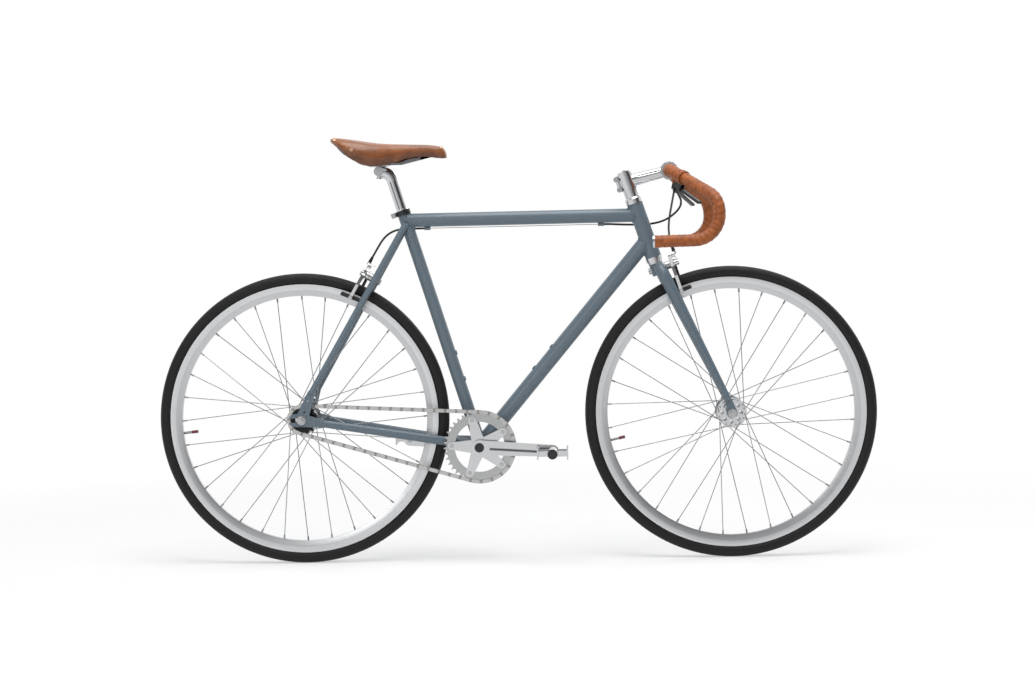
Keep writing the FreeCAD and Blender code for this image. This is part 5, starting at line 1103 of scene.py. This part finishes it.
# painted shade: the leather is darkened at the foot of each step, beside the turn that laps over it
wrap_step_shade = ranged(wrap_tree, wrap_share, (0.0, 0.16), (0.3, 0.0))
wrap_made = group_node(
    wrap_tree,
    hide_grain,
    {
        "Light": srgb(170, 92, 34),
        "Dark": srgb(124, 61, 19),
        "Patch Scale": 75.0,
        "Pore Scale": 900.0,
        "Painted Shade": wrap_step_shade,
    },
)
lay_colour(wrap_tree, wrap_shader, wrap_made)
raise_grain(wrap_tree, wrap_shader, wrap_made["Height"], 0.5, 0.0002)
for wrap_name, wrap_side in (("right_bar_wrap", -1), ("left_bar_wrap", 1)):
    wrap_points = [bar_middle + Vector((x, y * wrap_side, z)) for (x, y, z), bend in bar_route]
    wrap_edges = [(step, step + 1) for step in range(len(bar_route) - 1)]
    wrap_mesh = mesh_of(wrap_name, wrap_points, wrap_edges, [])
    wrap_bends = wrap_mesh.attributes.new("bend", "FLOAT", "POINT")
    wrap_bends.data.foreach_set("value", [bend for place, bend in bar_route])
    wrap = shaped(
        wrap_name,
        tape_wind,
        wrap_mesh,
        {
            "Under Radius": 0.0134,
            "Tape Thickness": 0.0008,
            "Tape Pitch": 0.0125,
            "Hand": float(wrap_side),
            "Leather": bar_leather,
        },
    )
    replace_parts(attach(wrap, "steering"), "bar_wrap")

# End plugs: turned and polished alloy caps, pushed into the open ends of the bar. They trap the end of
# the wrap.
dress(("bar_plugs",), polished_alloy)

# Brake levers: a band clamped on each ramp of the bar holds a short black blade under it. The wrap covers
# the band, so the band's own faces have the leather, and the rest is black.
lever_black = uneven_material(
    "lever_black",
    (30, 30, 31),
    grained(0.25, 60.0, 1600.0, 0.3, 0.12),
    {"Metallic": 0.3, "Coat Weight": 0.2, "Coat Roughness": 0.2},
    0.00003,
)
dress(("lever_brackets", "right_lever", "left_lever"), lever_black, bar_leather)
ramp_start = bar_middle + Vector((0, 0.062, 0))
ramp_along = Vector((0.5554, 0.7405, -0.3783)).normalized()
tape_reach = 0.0182


def under_tape(place):
    offset = Vector((place.x, abs(place.y), place.z)) - ramp_start
    return (offset - ramp_along * offset.dot(ramp_along)).length < tape_reach


tint("lever_brackets", 1, under_tape)

# Brakes: polished forged arms that turn on a centre bolt through the frame or fork. Each ends in a black
# holder, with a black rubber block that faces the rim.
pad_top = 0.6425
holder_side = 0.0268
pad_side = 0.02265
pad_rubber = uneven_material(
    "pad_rubber",
    (28, 28, 28),
    grained(0.3, 120.0, 900.0, 0.65, 0.1),
    {"Specular IOR Level": 0.35},
    0.00012,
)
brake_arms = (
    "front_brake_arm_right",
    "front_brake_arm_left",
    "rear_brake_arm_left",
    "rear_brake_arm_right",
)
dress(brake_arms, polished_alloy, pad_rubber, lever_black)
for arm_name in brake_arms:
    tint(arm_name, 2, lambda place: place.z < pad_top and abs(place.y) < holder_side)
    tint(arm_name, 1, lambda place: place.z < pad_top and abs(place.y) < pad_side)
dress(("front_brake_bolt", "rear_brake_bolt"), bolt_steel)

# Brake cables: black plastic housings of 5 mm over a steel wire, from each lever to a stop or to a
# brake's barrel. They are stiff, so they stand in smooth loops, and a rubber boot closes each end at a
# barrel.
housing_radius = 0.0025
cable_black = uneven_material(
    "cable_black",
    (24, 24, 25),
    grained(0.25, 90.0, 1500.0, 0.36, 0.12),
    {"Specular IOR Level": 0.5},
    0.00004,
)


def cable_line(name, points, radius):
    curve = bpy.data.curves.new(name, "CURVE")
    curve.dimensions = "3D"
    spline = curve.splines.new("NURBS")
    spline.points.add(len(points) - 1)
    for control, place in zip(spline.points, points):
        control.co = (*place, 1.0)
    spline.order_u = 3
    spline.use_endpoint_u = True
    spline.resolution_u = 16
    curve.bevel_depth = radius
    curve.bevel_resolution = 5
    curve.use_fill_caps = True
    return curve


def cable_path(name, points):
    guide = add_piece(name, cable_line(name, points, 0.0))
    places = [vertex.co.copy() for vertex in evaluated_mesh(guide).vertices]
    bpy.data.objects.remove(guide)
    return places


def run_length(places):
    return sum((after - before).length for before, after in zip(places, places[1:]))


front_route = [
    (0.377714, 0.083168, 0.858365),
    (0.375762, 0.080565, 0.850404),
    (0.368, 0.044, 0.818),
    (0.360, 0.008, 0.783),
    (0.358134, -0.037, 0.746861),
    (0.368740, -0.037, 0.714979),
]
steering_route = [
    (0.377714, -0.083168, 0.858365),
    (0.375762, -0.080565, 0.850404),
    (0.388, -0.062, 0.830),
    (0.384, -0.036, 0.812),
    (0.362, -0.011, 0.792),
    (0.338, 0.010, 0.7815),
    (0.305, 0.0255, 0.7775),
    (0.262, 0.024, 0.778),
    (0.231, 0.007, 0.7795),
    (0.220654, 0.0, 0.779917),
    (0.209654, 0.0, 0.779867),
]
rear_route = [
    (-0.208282, 0.0, 0.777939),
    (-0.219282, 0.0, 0.777888),
    (-0.243, 0.029, 0.778),
    (-0.276, 0.036, 0.777),
    (-0.304, 0.037, 0.762),
    (-0.324529, 0.037, 0.729759),
    (-0.341370, 0.037, 0.700683),
]
wire_route = [(-0.201282, 0.0, 0.777971), (0.0, 0.0, 0.7789), (0.202654, 0.0, 0.779834)]

# Boots: ribbed rubber sleeves, moulded in one piece and pushed over the end of a housing. Each sits down
# on its brake's barrel.
boot_sides = 28
boot_profile = (
    (0.0, 0.0030), (0.0, 0.0042), (0.0018, 0.0044), (0.0026, 0.0038), (0.0038, 0.0043),
    (0.0047, 0.0037), (0.0059, 0.0041), (0.0068, 0.0035), (0.0080, 0.0039), (0.0089, 0.0033),
    (0.0118, 0.0034), (0.0140, 0.0031), (0.0144, 0.0027), (0.0001, 0.0027),
)
for boot_name, boot_low, boot_high, boot_body in (
    ("front_cable_boot", front_route[-1], front_route[-2], "steering"),
    ("rear_cable_boot", rear_route[-1], rear_route[-2], "frame"),
):
    boot_up = (Vector(boot_high) - Vector(boot_low)).normalized()
    boot_side = boot_up.orthogonal().normalized()
    boot_front = boot_up.cross(boot_side)
    boot_turns = [math.tau * step / boot_sides for step in range(boot_sides)]
    boot_ring = [boot_side * math.cos(turn) + boot_front * math.sin(turn) for turn in boot_turns]
    boot_points = [
        Vector(boot_low) + boot_up * rise + way * reach
        for rise, reach in boot_profile
        for way in boot_ring
    ]
    boot_faces = hoop_faces(len(boot_profile), boot_sides)
    boot = add_piece(boot_name, mesh_of(boot_name, boot_points, [], boot_faces, pad_rubber))
    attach(boot, boot_body)

housing_looks = (cable_black, 2 * housing_radius, "loose", "cable_housing")
wire_looks = (spoke_steel, 0.0016, "taut", "steel")
front_boots = ("front_cable_boot",)
rear_boots = ("rear_cable_boot",)
cable_runs = (
    ("front_brake_cable_run", front_route, "steering", "front_brake_housing", housing_looks, front_boots),
    ("rear_brake_cable_run", rear_route, "frame", "rear_brake_cable", housing_looks, rear_boots),
    ("rear_brake_bare_wire", wire_route, "frame", "rear_brake_cable", wire_looks, ()),
)
for cable_name, cable_route, cable_body, cable_node, cable_looks, cable_pieces in cable_runs:
    cable_finish, cable_width, cable_lay, cable_slot = cable_looks
    cable = add_piece(cable_name, cable_line(cable_name, cable_route, cable_width / 2))
    cable.data.materials.append(cable_finish)
    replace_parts(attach(cable, cable_body), cable_node)
    run_length(cable_path(cable.name + "_guide", cable_route))

# The rear brake's front housing: the same black plastic over wire, from the right lever to the top tube's
# front stop. It crosses the steering, and it is made as a plain mesh tube.
steering_path = cable_path("steering_guide", steering_route)
steering_curve = add_piece("steering_run", cable_line("steering_run", steering_route, housing_radius))
steering_mesh = evaluated_mesh(steering_curve)
bpy.data.objects.remove(steering_curve)
steering_mesh.materials.clear()
steering_mesh.materials.append(cable_black)
steering_mesh.polygons.foreach_set("use_smooth", [True] * len(steering_mesh.polygons))
steering_cable = add_piece("rear_brake_steering_run", steering_mesh)
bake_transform(steering_cable)
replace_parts(steering_cable, "rear_brake_front_housing")
